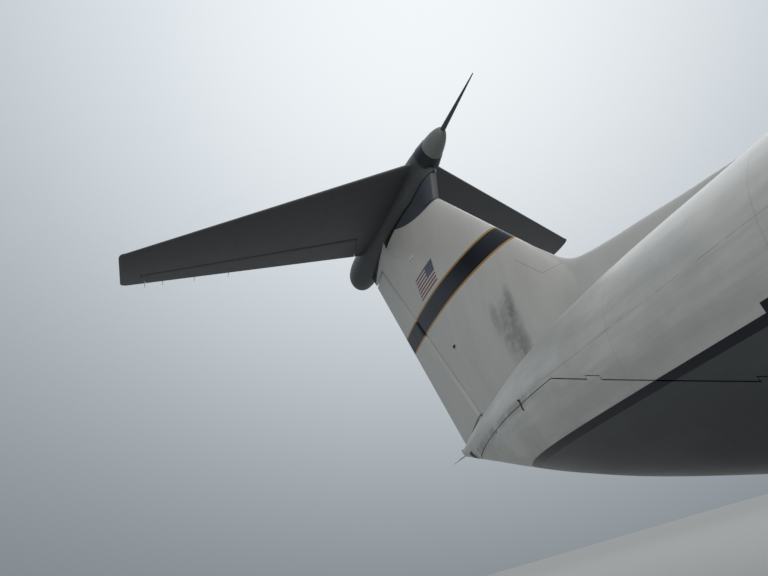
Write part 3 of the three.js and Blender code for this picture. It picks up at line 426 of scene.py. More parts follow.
def finished(tree, shader, place, base, wear, roughness, grain_mm, bump):
    """Links a colour, a roughness that follows the wear by a sixth each way, and a fine grain of
    grain_mm."""
    tree.links.new(base, shader.inputs["Base Color"])
    spread = {0: wear, 1: 0.3, 2: 0.7, 3: roughness * 0.84, 4: min(1.0, roughness * 1.16)}
    tree.links.new(add(tree, "MapRange", spread), shader.inputs["Roughness"])
    fine = add(tree, "TexNoise", {"Vector": place, "Scale": 1000 / grain_mm, "Detail": 2.0})
    raised = {"Strength": bump, "Distance": 0.002, "Height": fine}
    tree.links.new(add(tree, "Bump", raised), shader.inputs["Normal"])


JOINT_HALF = 0.005
JOINT_SHADE = (0.62, 0.62, 0.62, 1.0)


def plain(
    name, code, roughness, metallic=0.0, grain_mm=16, bump=0.1, worn=0.1, joints=(0, 0), spars=(), **sockets
):
    """A finish of one colour that varies by worn over half metres, with a fine grain. Joints are the
    pitches in x and y of thin darker lines where sheets meet, and spars are lines x = start - slope
    |y|."""
    material, tree, shader, place, (x, y, _) = new_finish(name, roughness, metallic, **sockets)
    wear = weather(tree, place, (1, 1, 1), 0.45)
    ends = {0: wear, 6: shade(code, 1 - 2 * worn), 7: shade(code, 1 + worn)}
    base = add(tree, "Mix", ends, out=2, data_type="RGBA")
    lines = [every(tree, value, pitch, JOINT_HALF) for value, pitch in zip((x, y), joints) if pitch]
    out = add(tree, "Math", {0: y}, operation="ABSOLUTE")
    for start, slope in spars:
        across = add(tree, "Math", {0: out, 1: slope, 2: x}, operation="MULTIPLY_ADD")
        lines.append(band(tree, across, start, JOINT_HALF))
    base = tinted(tree, base, [(line, JOINT_SHADE, "MULTIPLY") for line in lines])
    finished(tree, shader, place, base, wear, roughness, grain_mm, bump)
    return material


WHITE, WHITE_DULL = "c6c6c1", "aeafab"
SKIN_GREY, SKIN_GREY_DULL = "4b4f50", "3f4243"
NAVY = "0b0f1c"
GOLD = "a87d38"
RING_NAVY = "0e1420"
SADDLE_GREY = "434951"
# dirt and the seam's dark band multiply the paint under them
GRIME = (0.1, 0.1, 0.1, 1.0)
SEAM_BAND_DARK = (0.35, 0.34, 0.33, 1.0)
CHEATLINE = {"z": 2.95, "half": 0.055}
# the stripe steps up into a short block: x middle and half length, z middle and half height
STRIPE_BLOCK = {"x": (10.05, 0.27), "z": (3.06, 0.06)}
# level joints in the side: height, and how strong the line is
LAP_JOINTS = [(4.72, 0.12), (3.895, 0.3), (2.35, 0.12), (1.6, 0.12)]
FRAME_PITCH = 2.54
# a broken dark band beside the loading doors' seam, aft of front
SEAM_DARK_BAND = {"z": 3.83, "half": 0.02, "fade": 0.12, "front": 6.1}


def skin_paint():
    """Gloss polyurethane over aluminium sheet, white above a navy stripe and grey below. It gives the eye
    a broad soft shine, level joints that come and go, dirt that trails aft, and a broken dark band beside
    the loading doors' seam."""
    material, tree, shader, place, (x, _, z) = new_finish("gloss_polyurethane_white_over_grey", 0.36)
    trails = weather(tree, place, (0.22, 1.1, 2.2), 0.62)
    patches = weather(tree, place, (1, 1, 1), 2.2, 4.0)
    clean = add(tree, "MapRange", {0: both(tree, trails, patches), 1: 0.18, 2: 0.34})
    white = {0: clean, 6: colour(WHITE_DULL), 7: colour(WHITE)}
    white = add(tree, "Mix", white, out=2, data_type="RGBA")
    grey = {0: clean, 6: colour(SKIN_GREY_DULL), 7: colour(SKIN_GREY)}
    grey = add(tree, "Mix", grey, out=2, data_type="RGBA")
    level, front = CHEATLINE["z"], SEAM_DARK_BAND["front"]
    below = add(tree, "MapRange", {0: z, 1: level, 2: level + 0.004, 3: 1.0, 4: 0.0})
    base = add(tree, "Mix", {0: below, 6: white, 7: grey}, out=2, data_type="RGBA")

    dashes = weather(tree, place, (1, 0, 0), 0.55, 3.0)
    broken = add(tree, "MapRange", {0: dashes, 1: 0.42, 2: 0.52})
    layers = []
    for height, strength in LAP_JOINTS:
        line = both(tree, band(tree, z, height, 0.004, 0.006), broken)
        layers.append((both(tree, line, strength), GRIME, "MULTIPLY"))
    frames = both(tree, every(tree, x, FRAME_PITCH, 0.004, 0.008), 0.14)
    layers.append((frames, GRIME, "MULTIPLY"))
    beside = both(tree, band(tree, z, SEAM_DARK_BAND["z"], SEAM_DARK_BAND["half"], SEAM_DARK_BAND["fade"]), broken)
    aft = add(tree, "MapRange", {0: x, 1: front - 1.5, 2: front, 3: 0.55, 4: 0.0})
    layers.append((both(tree, beside, aft), SEAM_BAND_DARK, "MULTIPLY"))
    layers.append((band(tree, z, CHEATLINE["z"], CHEATLINE["half"]), NAVY, "MIX"))
    step = both(tree, band(tree, x, *STRIPE_BLOCK["x"]), band(tree, z, *STRIPE_BLOCK["z"]))
    layers.append((step, NAVY, "MIX"))
    base = tinted(tree, base, layers)
    finished(tree, shader, place, base, trails, 0.36, 12, 0.05)
    return material


# the fin's band from its lower to its upper edge, and the width of its gold edges
FIN_BAND = (7.46, 7.99)
GOLD_EDGE = 0.055
# the dark saddle under the bullet: its edge stays level up to bend, then rises aft
SADDLE = {"z": 10.14, "bend": 2.1, "rise": 0.2, "power": 1.8}
# the gap behind it, painted black as its shadow: everything above z = height + slope (x - start)
TOP_GAP_SHADE = {"height": 10.97, "slope": 0.22, "start": -0.34}
# middle and half size of the flag and of its blue corner
FLAG = {
    "x": (1.165, 0.58),
    "z": (8.48, 0.32),
    "stripes": 13,
    "canton_x": (1.515, 0.23),
    "canton_z": (8.63, 0.17),
}
SMUDGES = [
    # middle, reach and strength of each soft spot
    ((3.95, 5.65), (0.5, 0.95), 0.5),
    ((4.12, 6.2), (0.2, 0.55), 0.36),
    ((3.52, 6.1), (0.2, 0.5), 0.32),
    ((4.2, 5.1), (0.3, 0.45), 0.36),
]
FIN_JOINTS_AND_GAP_SHADE = [
    # start, end, half width, strength; the first two paint the shadow in the gap ahead of the rudder, the
    # rest are joint lines
    ((-0.12, 7.92), (0.02, 7.62), 0.014, 0.85),
    ((0.02, 7.6), (0.6, 6.36), 0.016, 0.75),
    ((4.59, 6.91), (5.2, 6.2), 0.007, 0.3),
    ((5.2, 6.2), (5.66, 6.14), 0.007, 0.3),
    ((0.62, 9.5), (-0.43, 10.3), 0.006, 0.25),
    ((0.9, 9.44), (1.7, 9.3), 0.006, 0.15),
    ((2.4, 4.9), (1.75, 6.3), 0.006, 0.16),
]


def fin_paint():
    """The fin's gloss white with a navy band between gold edges, a flag of stripes and a blue corner, a
    dark blue-grey saddle under the bullet, a sooty smudge, and joint lines that show only in places. Dark
    lines of painted shadow run along the gap ahead of the rudder, and a black band of painted shadow lies in
    the gap under the bullet's rear. It gives the eye a clean glossy sheet with upright streaks, on which the
    markings stay crisp."""
    material, tree, shader, place, (x, _, z) = new_finish("gloss_polyurethane_white_fin", 0.36)
    streaks = weather(tree, place, (1.5, 1.0, 0.35), 0.7)
    ends = {0: streaks, 6: colour("afafab"), 7: colour("c9c9c4")}
    base = add(tree, "Mix", ends, out=2, data_type="RGBA")
    rough_edge = weather(tree, place, (1, 1, 1), 0.2, 4.0)
    torn = add(tree, "MapRange", {0: rough_edge, 1: 0.2, 2: 0.55})
    layers = []
    for middle, reach, strength in SMUDGES:
        spot = both(tree, blot(tree, place, middle, reach), torn)
        layers.append((both(tree, spot, strength), (0.12, 0.12, 0.12, 1.0), "MULTIPLY"))
    # joint lines, and the painted shadow of the gap ahead of the rudder
    for start, end, half, strength in FIN_JOINTS_AND_GAP_SHADE:
        line = segment(tree, place, start, end, half)
        layers.append((both(tree, line, strength), (0.08, 0.08, 0.09, 1.0), "MULTIPLY"))

    middle, half = sum(FIN_BAND) / 2, (FIN_BAND[1] - FIN_BAND[0]) / 2
    layers.append((band(tree, z, middle, half + GOLD_EDGE), GOLD, "MIX"))
    layers.append((band(tree, z, middle, half), NAVY, "MIX"))

    flag = both(tree, band(tree, x, *FLAG["x"]), band(tree, z, *FLAG["z"]))
    pitch = 4 * FLAG["z"][1] / FLAG["stripes"]
    from_top = add(tree, "Math", {0: z, 1: sum(FLAG["z"]) - pitch / 4}, operation="SUBTRACT")
    red = both(tree, flag, every(tree, from_top, pitch, pitch / 4 - 0.002))
    corner = both(tree, band(tree, x, *FLAG["canton_x"]), band(tree, z, *FLAG["canton_z"]))
    specks = both(tree, every(tree, x, 0.075, 0.012), every(tree, z, 0.055, 0.012))
    layers += [(red, "6d2c3a", "MIX"), (corner, "2b3350", "MIX")]
    layers.append((both(tree, corner, specks), "9fa3a8", "MIX"))

    behind = add(tree, "Math", {0: SADDLE["bend"], 1: x}, operation="SUBTRACT")
    behind = add(tree, "Math", {0: behind, 1: 0.0}, operation="MAXIMUM")
    risen = add(tree, "Math", {0: behind, 1: SADDLE["power"]}, operation="POWER")
    edge = {0: risen, 1: -SADDLE["rise"], 2: z}
    over = add(tree, "Math", edge, operation="MULTIPLY_ADD")
    saddle = add(tree, "MapRange", {0: over, 1: SADDLE["z"], 2: SADDLE["z"] + 0.006})
    # black paint above the slanting line, aft of the fin's top, is the painted shadow of the gap under the
    # bullet
    slant = {0: x, 1: -TOP_GAP_SHADE["slope"], 2: z}
    height = add(tree, "Math", slant, operation="MULTIPLY_ADD")
    level = TOP_GAP_SHADE["height"] - TOP_GAP_SHADE["slope"] * TOP_GAP_SHADE["start"]
    gap = add(tree, "MapRange", {0: height, 1: level, 2: level + 0.02})
    rearward = add(tree, "MapRange", {0: x, 1: 0.0, 2: -0.1})
    layers += [(saddle, SADDLE_GREY, "MIX"), (both(tree, gap, rearward), "0c0d0f", "MIX")]
    base = tinted(tree, base, layers)
    finished(tree, shader, place, base, streaks, 0.36, 12, 0.05)
    return material


# the ring behind the bullet's nose cone: its middle and half length
BULLET_RING = (2.79, 0.175)


def bullet_paint():
    """Semi-gloss grey on a moulded glass-fibre shell: the nose cone is a paler, flatter radome coat, and
    a navy ring parts it from the body, which gives the shape a crisp break."""
    material, tree, shader, place, (x, _, _) = new_finish("semi_gloss_grey_on_glass_fibre", 0.42)
    wear = weather(tree, place, (1, 1, 1), 0.45)
    ends = {0: wear, 6: colour("383b3c"), 7: colour("424546")}
    body = add(tree, "Mix", ends, out=2, data_type="RGBA")
    ahead = add(tree, "MapRange", {0: x, 1: BULLET_RING[0], 2: BULLET_RING[0] + 0.004})
    ring = band(tree, x, *BULLET_RING)
    base = tinted(tree, body, [(ahead, "6f7471", "MIX"), (ring, RING_NAVY, "MIX")])
    finished(tree, shader, place, base, wear, 0.42, 12, 0.05)
    return material


LENS = {"worn": 0.03, "bump": 0.0, "Coat_Weight": 0.6}
WING_SHEETS = {"joints": (0, 2.2), "spars": [(29.7, 0.4835), (24.6, 0.3435)]}
TAIL_SHEETS = {"joints": (0, 2.3), "spars": [(1.87, 0.52)]}
FINISH = {
    # name: the material and the slot of the record that it belongs to
    # white over grey gloss: described with the function
    "skin": (skin_paint(), "white_skin"),
    # the fin's gloss white and its markings: described with the function
    "fin": (fin_paint(), "white_skin"),
    # grey glass fibre with a paler nose: described with the function
    "bullet": (bullet_paint(), "bullet_grey"),
    # paint on riveted sheet: a soft shine with thin darker joints along ribs and spars
    "wing": (plain("gloss_polyurethane_mid_grey", "5c6062", 0.42, **WING_SHEETS), "wing_grey"),
    # the same paint on cowlings that are wiped down: a brighter streak, with joints round the barrel
    "nacelle": (plain("gloss_polyurethane_cowling_grey", "66696b", 0.38, joints=(1.3, 0)), "wing_grey"),
    # the wing's paint made darker as painted shade for the tail's underside: it reads as one dark plane with
    # faint joints
    "tail": (plain("gloss_polyurethane_grey_darkened_as_painted_shade", "404347", 0.42, **TAIL_SHEETS), "wing_grey"),
    # thinner paint on moulded fairings: a grey between shine and matt, without joints
    "lip": (plain("semi_gloss_grey_fairing", "4a4e4f", 0.45), "bullet_grey"),
    # a paler strip that paints the highlight along the prow's leading edge, and duller than what it edges
    "edge": (plain("pale_strip_as_painted_highlight", "6c7071", 0.5), "bullet_grey"),
    # nearly black until it catches the sky: a crisp dark ring with a clear shine
    "navy": (plain("gloss_polyurethane_navy", RING_NAVY, 0.36), "bullet_grey"),
    # cool and dark under the bullet: parts the white fin from it with a soft shine
    "saddle": (plain("semi_gloss_blue_grey_fairing", SADDLE_GREY, 0.42), "bullet_grey"),
    # a thick matt rubbery coat that takes the rain: hardly any shine
    "radome": (plain("rain_erosion_coating_black", "17181a", 0.5), "radome_black"),
    # layered glass over a dark cabin: a sharp sky reflection on near black
    "glass": (plain("laminated_glass_dark", "11171b", 0.06, worn=0.02, bump=0.0, Coat_Weight=0.5), "glass"),
    # rolled bare metal, heat-browned a little: long soft highlights
    "metal": (plain("bare_titanium_and_steel", "8f8f8c", 0.34, 1.0), "engine_metal"),
    # bare metal kept bright: a thin brilliant rim round each intake
    "bright": (plain("polished_aluminium_lip", "c9ccce", 0.2, 1.0, worn=0.04), "engine_metal"),
    # thick smooth enamel that is washed often: clean, pale and evenly shiny
    "gear": (plain("gloss_enamel_white_gear", "c3c5c2", 0.4), "gear_metal"),
    # a mirror for its surroundings: hard bright lines down the piston
    "chrome": (plain("hard_chromed_piston", "d5d7d8", 0.12, 1.0, worn=0.03, bump=0.0), "gear_metal"),
    # rubber with a dull bloom and a pebbled skin
    "tyre": (plain("tyre_rubber", "1b1b1b", 0.85, grain_mm=10, bump=0.4), "tyre"),
    # dyed oxide over metal: dark, with only a faint metallic sheen
    "probe": (plain("anodised_aluminium_dark", "4c5254", 0.45, 0.3), "probe_dark"),
    # rubber with a little polish from wiping: dark, with a weak wide highlight
    "hose": (plain("hydraulic_hose_rubber", "26282a", 0.6), "gear_metal"),
    # a thin yellow-green primer, uneven and nearly matt
    "interior": (plain("zinc_chromate_interior_paint", "7c8773", 0.6), "interior"),
    # a bead of grey sealant, dull and soft-edged
    "seal": (plain("polysulphide_sealant_grey", "4a4b4b", 0.6), "white_skin"),
    # sealant, and black that paints the shade in gaps and recesses: dull black that swallows light
    "dark": (plain("sealant_black_and_painted_gap_shade", "101113", 0.6), "radome_black"),
    # clear hard plastic dyed through: a small deep red with a sharp highlight
    "red_lamp": (plain("cast_acrylic_red_lens", "7c1414", 0.12, **LENS), "glass"),
    # the same in green
    "green_lamp": (plain("cast_acrylic_green_lens", "14603c", 0.12, **LENS), "glass"),
    # undyed over a pale reflector: bright, with a sharp highlight
    "clear_lamp": (plain("cast_acrylic_clear_lens", "c8cccc", 0.1, **LENS), "glass"),
}

# Fuselage. Its breaks are stations between the lengths it is built in

WALL = 0.16
GRID_STEP = 0.16
BREAKS = {"aft": 20.6, "centre": 31.6, "forward": 41.4, "radome": 45.9}
STATION, CROWN, BELLY, HALF, WIDEST, LOWER = range(6)
FUSELAGE = np.array(
    [
        # x, crown, belly, half width, height of the widest point, lower exponent
        [0.0, 4.3, 4.07, 0.18, 4.2, 2.3],
        [1.5, 4.56, 3.55, 0.67, 4.1, 2.3],
        [3.0, 4.78, 3.03, 1.14, 3.9, 2.3],
        [4.5, 4.99, 2.53, 1.53, 3.72, 2.3],
        [6.0, 5.15, 2.08, 1.72, 3.66, 2.3],
        [8.0, 5.22, 1.6, 1.85, 3.5, 2.3],
        [10.0, 5.2, 1.18, 1.97, 3.28, 2.2],
        [12.0, 5.17, 0.93, 2.09, 3.08, 2.1],
        [14.0, 5.16, 0.84, 2.15, 3.0, 2.0],
        [16.0, 5.16, 0.84, 2.16, 3.0, 2.0],
        [41.0, 5.16, 0.84, 2.16, 3.0, 2.0],
        [42.4, 5.13, 0.86, 2.14, 2.98, 2.0],
        [43.4, 5.03, 0.9, 2.08, 2.95, 2.0],
        [44.3, 4.72, 1.0, 1.92, 2.88, 2.0],
        [45.2, 4.05, 1.16, 1.68, 2.72, 2.0],
        [45.9, 3.65, 1.34, 1.44, 2.6, 2.0],
        [46.6, 3.28, 1.62, 1.06, 2.5, 2.0],
        [47.1, 2.92, 1.93, 0.64, 2.43, 2.0],
        [47.35, 2.62, 2.18, 0.26, 2.4, 2.0],
        [47.41, 2.44, 2.36, 0.04, 2.4, 2.0],
    ]
)
# the petal doors' upper edge in side view: x, z
PETAL_SEAM = [(0.95, 3.76), (6.1, 3.82), (10.55, 1.92)]
# the petal doors' hinge straps: flush plates that reach from the door over the seam
PETAL_STRAP = {"stations": (7.04, 9.39), "half": 0.13, "low": -0.05, "high": 0.06, "gap": 0.012}
RAMP = {"aft": 10.65, "front": 14.6, "top_aft": 1.45, "top_front": 1.52}
RAMP_HINGE = {"z": 0.89, "radius": 0.05, "length": 0.3, "stations": (-0.45, 0, 0.45)}
# out: how far the hinge line lies from the middle plane
CREW_HINGE = {"stations": (39.3, 39.8), "out": 1.8728, "radius": 0.05, "length": 0.24}
DOORS = {
    # aft end, front end, sill, head
    "crew": (39.1, 40.0, 1.95, 3.85),
    "paratroop": (15.6, 16.55, 1.95, 3.85),
}
HATCHES = [
    # escape hatches and an access panel: aft end, front end, bottom, top
    (12.9, 13.5, 3.3, 4.2),
    (33.6, 34.2, 3.3, 4.2),
    (24.6, 25.2, 3.4, 4.3),
    (41.7, 42.2, 1.7, 2.2),
]


def column(k, x):
    """One column of the fuselage's table as a smooth curve, at station x."""
    return smooth(FUSELAGE[:, STATION], FUSELAGE[:, k], x)


def hull(x, angle, grow=0.0):
    """The skin at station x: a superellipse about the widest point, round above and squarer below, where
    angle 0 is port, a right angle the crown and less than nought the belly. Grow moves it out."""
    x, angle = np.broadcast_arrays(x, angle)
    crown, belly, half, wide, lower = (column(k, x) for k in range(CROWN, LOWER + 1))
    c, s = np.cos(angle), np.sin(angle)
    power = np.where(s > 0, 1.0, 2 / lower)
    height = np.where(s > 0, crown - wide, wide - belly) + grow
    y = (half + grow) * np.sign(c) * np.abs(c) ** power
    return np.stack([x, y, wide + height * np.sign(s) * np.abs(s) ** power], -1)


def wall_at(x):
    """Wall thickness, which falls to two fifths of the section where the tail cone is thin."""
    crown, belly, half, wide = (column(k, x) for k in (CROWN, BELLY, HALF, WIDEST))
    return np.minimum(WALL, 0.4 * np.minimum(half, np.minimum(crown - wide, wide - belly)))


def angle_at(x, z):
    """The port angle at which the skin has height z at station x, within a quarter turn up or down."""
    crown, belly, wide, lower = (column(k, x) for k in (CROWN, BELLY, WIDEST, LOWER))
    above = np.clip((z - wide) / (crown - wide), 0, 1)
    below = np.clip((wide - z) / (wide - belly), 0, 1) ** (lower / 2)
    return np.where(z > wide, np.arcsin(above), -np.arcsin(below))


def patch(x, z, out, deep=0.03, **closing):
    """A plate on the port skin: the skin's points at the grids of x and z, moved out and in."""
    angle = angle_at(x, z)
    return shell(hull(x, angle, out), hull(x, angle, -deep), **closing)


def window(x, z, inner, outer, out, deep=0.03):
    """A round plate on the port skin, or a ring where inner is over nought: radius from inner to
    outer."""
    radius, angle = np.linspace(inner, outer, 4)[:, None], circle(32, True)[None, :]
    closing = {"around": True, "tips": (inner == 0, False)}
    return patch(x + radius * np.cos(angle), z + radius * np.sin(angle), out, deep, **closing)


def outline(aft, front, low, high, half=0.008):
    """A thin line round an oblong on the port skin: two level strips and two upright ones."""
    level = [(aft, front, z, z) for z in (low, high)]
    upright = [(x, x, low, high) for x in (aft, front)]
    nets = []
    for x0, x1, z0, z1 in level + upright:
        x = np.linspace(x0 - half, x1 + half, 6)[:, None]
        z = np.linspace(z0 - half, z1 + half, 6)[None, :]
        nets.append(patch(x + 0 * z, z + 0 * x, 0.003, 0.01))
    return together(*nets)


def seam_height(x):
    """The petal doors' upper edge in side view: straight lines between its corners."""
    return np.interp(x, [row[0] for row in PETAL_SEAM], [row[1] for row in PETAL_SEAM])


def seam_angle(x, gap):
    """The petal doors' upper edge, as the angle on the skin, held constant past its ends."""
    stations = [PETAL_SEAM[0][0] - gap, PETAL_SEAM[1][0] + gap * 0.2, PETAL_SEAM[2][0] + gap]
    heights = [PETAL_SEAM[0][1] + gap, PETAL_SEAM[1][1] + gap, PETAL_SEAM[2][1] + gap * 0.7]
    at = np.clip(x, stations[0], stations[2])
    return angle_at(at, np.interp(at, stations, heights))


def ramp_angle(x, gap):
    """The ramp's upper edge, a straight line in side view, as the angle on the skin."""
    at = np.clip(x, RAMP["aft"] - gap, RAMP["front"] + gap)
    height = np.interp(at, [RAMP["aft"], RAMP["front"]], [RAMP["top_aft"], RAMP["top_front"]]) + gap
    return angle_at(at, height)


def strap(centre, gap, out, deep):
    """A hinge strap on the petal seam, or the room for it: a plate whose edges follow the seam."""
    x = np.linspace(centre - PETAL_STRAP["half"] - gap, centre + PETAL_STRAP["half"] + gap, 7)[:, None]
    rise = np.linspace(PETAL_STRAP["low"] - gap, PETAL_STRAP["high"] + gap, 5)[None, :]
    return patch(x + 0 * rise, seam_height(x) + rise, out, deep)


BEVEL = 0.006


def knuckles(centre, direction, radius, length):
    """A hinge of three knuckles on one line: the outer two, their room, the middle one and its room."""
    centre, direction = np.asarray(centre, float), np.asarray(direction, float)
    third, end = length / 3, length / 2

    def part(a, b, size, bevel=0.0):
        """A bar on the hinge line, between two distances from its middle."""
        return rod(centre + direction * a, centre + direction * b, size, 24, bevel)

    return {
        "outer": together(part(-end, -third / 2, radius, BEVEL), part(third / 2, end, radius, BEVEL)),
        "outer_room": [
            part(-end - CLEAR, -third / 2 + SEAT, radius + CLEAR),
            part(third / 2 - SEAT, end + CLEAR, radius + CLEAR),
        ],
        "middle": part(-third / 2 + SEAT, third / 2 - SEAT, radius, BEVEL),
        "middle_room": part(-third / 2, third / 2, radius + CLEAR),
    }


def ramp_hinges():
    """The ramp's hinges, spaced across its front edge."""
    x = RAMP["front"] + CLEAR / 2
    spots = [[x, y, RAMP_HINGE["z"]] for y in RAMP_HINGE["stations"]]
    return [knuckles(spot, [0, 1, 0], RAMP_HINGE["radius"], RAMP_HINGE["length"]) for spot in spots]


def fuselage_grid(x, bounds_by_zone, counts):
    """Angles for each station: from the crown down the port side through the zones' bounds to the belly,
    and up the starboard side again."""
    edges = [np.full_like(x, np.pi / 2), *bounds_by_zone, np.full_like(x, -np.pi / 2)]
    down = [
        a[:, None] + (b - a)[:, None] * np.linspace(0, 1, n, endpoint=False)
        for a, b, n in zip(edges[:-1], edges[1:], counts)
    ]
    port = np.concatenate(down + [edges[-1][:, None]], 1)
    starboard = -np.pi - port[:, ::-1]
    return np.concatenate([port, starboard[:, 1:]], 1)


# cells from the crown to the belly in each zone of the grids, and the closed point of the tail cone
AFT_ZONES = (26, 22, 8, 16)
TUBE_ZONES = (30, 22, 20)
TAIL_END = {"out": -0.03, "in": 0.02}


def build_aft():
    """The aft fuselage: stations from the tail cone's tip to the break, with the petal, ramp and
    paratroop door openings left out cell by cell. Its grid lines follow the openings' edges."""
    petal_start, petal_end = PETAL_SEAM[0][0] - CLEAR, PETAL_SEAM[2][0] + CLEAR
    ramp_end = RAMP["front"] + CLEAR
    door_aft, door_front, sill, head = DOORS["paratroop"]
    stops = [0.0, petal_start, PETAL_SEAM[1][0], petal_end, ramp_end, door_aft - SEAT, door_front + SEAT]
    x = steps_between(stops + [BREAKS["aft"] - SEAT / 2], GRID_STEP)
    seam = seam_angle(x, CLEAR)
    end_seam = seam_angle(petal_end, CLEAR)
    share = (ramp_angle(petal_end, CLEAR) - end_seam) / (-np.pi / 2 - end_seam)
    ramp = np.where(x <= petal_end + 1e-9, seam + (-np.pi / 2 - seam) * share, ramp_angle(x, CLEAR))
    head_angle, sill_angle = (angle_at(door_aft, z) for z in (head + SEAT, sill - SEAT))
    blend = np.clip((x - ramp_end) / (door_aft - SEAT - ramp_end), 0, 1)
    # zones: crown to door head, to the seam or door sill, to the ramp's edge, to the belly
    top = np.pi / 2 + (np.minimum(seam, head_angle) - np.pi / 2) * 0.75
    top = top + (head_angle - top) * blend
    seam = seam + (sill_angle - seam) * blend
    ramp = np.minimum(ramp, seam - 0.05)
    angles = fuselage_grid(x, [top, seam, ramp], AFT_ZONES)
    middle_x = ((x[:-1] + x[1:]) / 2)[:, None]
    columns = np.cumsum(AFT_ZONES)
    number = np.arange(2 * columns[-1])[None, :]
    number = np.minimum(number, 2 * columns[-1] - 1 - number)
    petal = (middle_x > petal_start) & (middle_x < petal_end) & (number >= columns[1])
    hole = (middle_x > petal_end) & (middle_x < ramp_end) & (number >= columns[2])
    door = (middle_x > door_aft - SEAT) & (middle_x < door_front + SEAT)
    door = door & (number >= columns[0]) & (number < columns[1])
    present = ~(petal | hole | door)
    outer = hull(x[:, None], angles)
    inner = hull(x[:, None], angles, -wall_at(x)[:, None])
    height = float(outer[0, :, 2].mean())
    outer = np.concatenate([np.broadcast_to([TAIL_END["out"], 0, height], outer[:1].shape), outer])
    inner = np.concatenate([np.broadcast_to([TAIL_END["in"], 0, height], inner[:1].shape), inner])
    present = np.concatenate([np.ones_like(present[:1]), present])
    net = shell(outer, inner, present, around=True, tips=(True, False))
    room = together(*[strap(at, PETAL_STRAP["gap"], 0.1, 0.35) for at in PETAL_STRAP["stations"]])
    cuts = [room, on_side(room, -1)]
    piece("aft_fuselage", net, "skin", replaces=["fuselage_aft"], cuts=cuts, lining="interior")
    piece("ramp_hinge_lugs", together(*[hinge["outer"] for hinge in ramp_hinges()]), "gear")


def build_petals():
    """The petal doors: the same skin below the seam, from its edge to the middle line, with the two
    straps."""
    x = steps_between([PETAL_SEAM[0][0], PETAL_SEAM[1][0], PETAL_SEAM[2][0]], 0.12)
    edge = seam_angle(x, 0.0)
    bottom = -np.arccos((CLEAR / 2 / column(HALF, x)) ** (column(LOWER, x) / 2))
    angles = edge[:, None] + (bottom - edge)[:, None] * np.linspace(0, 1, 50)
    outer = hull(x[:, None], angles)
    inner = hull(x[:, None], angles, -wall_at(x)[:, None])
    inner[..., 1] = np.maximum(inner[..., 1], CLEAR / 2)
    straps = together(*[strap(at, 0, 0.003, 0.05) for at in PETAL_STRAP["stations"]])
    for side, sign in SIDES:
        name = "petal_door_" + side
        piece("petal_" + side, on_side(shell(outer, inner), sign), "skin", name, [name], lining="interior")
        piece("petal_straps_" + side, on_side(straps, sign), "skin", name)


def build_ramp():
    """The ramp: the belly's skin closed by a flat floor, with room for the fixed knuckles of its
    hinges."""
    x = steps_between([RAMP["aft"], RAMP["front"]], 0.15)
    edge = ramp_angle(x, 0.0)
    arc = edge[:, None] + (-np.pi - 2 * edge)[:, None] * np.linspace(0, 1, 60)
    skin = hull(x[:, None], arc)
    floor = skin[:, -1:] + (skin[:, :1] - skin[:, -1:]) * np.linspace(0, 1, 12)[1:-1, None]
    net = capped(np.concatenate([skin, floor], 1))
    hinges = ramp_hinges()
    cuts = [room for hinge in hinges for room in hinge["outer_room"]]
    piece("ramp", net, "skin", "cargo_ramp", ["cargo_ramp"], cuts=cuts)
    piece("ramp_hinge_middle", together(*[hinge["middle"] for hinge in hinges]), "gear", "cargo_ramp")


def tube(start, end, door=None):
    """A length of fuselage between two stations, open at both ends, with a port door's opening if it has
    one."""
    stops = [start, end] if door is None else [start, door[0] - CLEAR, door[1] + CLEAR, end]
    x = steps_between(stops, GRID_STEP)
    heights = (DOORS["crew"][3] + CLEAR, DOORS["crew"][2] - CLEAR)
    edges = [np.full_like(x, float(angle_at(DOORS["crew"][0], z))) for z in heights]
    angles = fuselage_grid(x, edges, TUBE_ZONES)
    present = None
    if door is not None:
        middle = ((x[:-1] + x[1:]) / 2)[:, None]
        number = np.arange(2 * sum(TUBE_ZONES))[None, :]
        beside = (number >= TUBE_ZONES[0]) & (number < TUBE_ZONES[0] + TUBE_ZONES[1])
        present = ~((middle > stops[1]) & (middle < stops[2]) & beside)
    return shell(hull(x[:, None], angles), hull(x[:, None], angles, -WALL), present, around=True)


def door_panel(door):
    """A port door cut from the same skin, its edges on the door's outline."""
    aft, front, sill, head = door
    x = steps_between([aft, front], 0.1)[:, None]
    angles = np.linspace(float(angle_at(aft, head)), float(angle_at(aft, sill)), 24)[None, :]
    return shell(hull(x, angles), hull(x, angles, -WALL))


DOOR_WINDOW = {"above_sill": 1.3, "radius": 0.14, "frame": 0.035}
DOOR_PLATES = [
    # name, finish, x from the door's aft edge, z from the window's middle, how far it stands out
    # the recess: a dark plate that paints the shade in the handle's recess
    ("door_recess_shade_", "dark", (0.08, 0.3), (-0.55, -0.46), 0.003),
    ("door_handle_", "gear", (0.1, 0.28), (-0.52, -0.49), 0.012),
]


def door_fittings(tag, door, sign, body):
    """A door's round window in its frame, and a flush handle on a dark plate below it that paints the shade
    of its recess.
    """
    aft, front, sill, _ = door
    x, z, radius = (aft + front) / 2, sill + DOOR_WINDOW["above_sill"], DOOR_WINDOW["radius"]
    frame = window(x, z, radius, radius + DOOR_WINDOW["frame"], 0.01)
    piece("door_window_" + tag, on_side(window(x, z, 0, radius, 0.004), sign), "glass", body)
    piece("door_window_frame_" + tag, on_side(frame, sign), "gear", body)
    for name, finish, along, up, out in DOOR_PLATES:
        rows = (aft + np.linspace(*along, 5))[:, None], (z + np.linspace(*up, 4))[None, :]
        piece(name + tag, on_side(patch(*np.broadcast_arrays(*rows), out), sign), finish, body)


# the windscreen's outline in side view
WINDSCREEN = [(43.25, 3.98), (43.25, 4.42), (44.0, 4.62), (44.75, 4.95), (45.9, 4.3), (45.32, 3.9)]
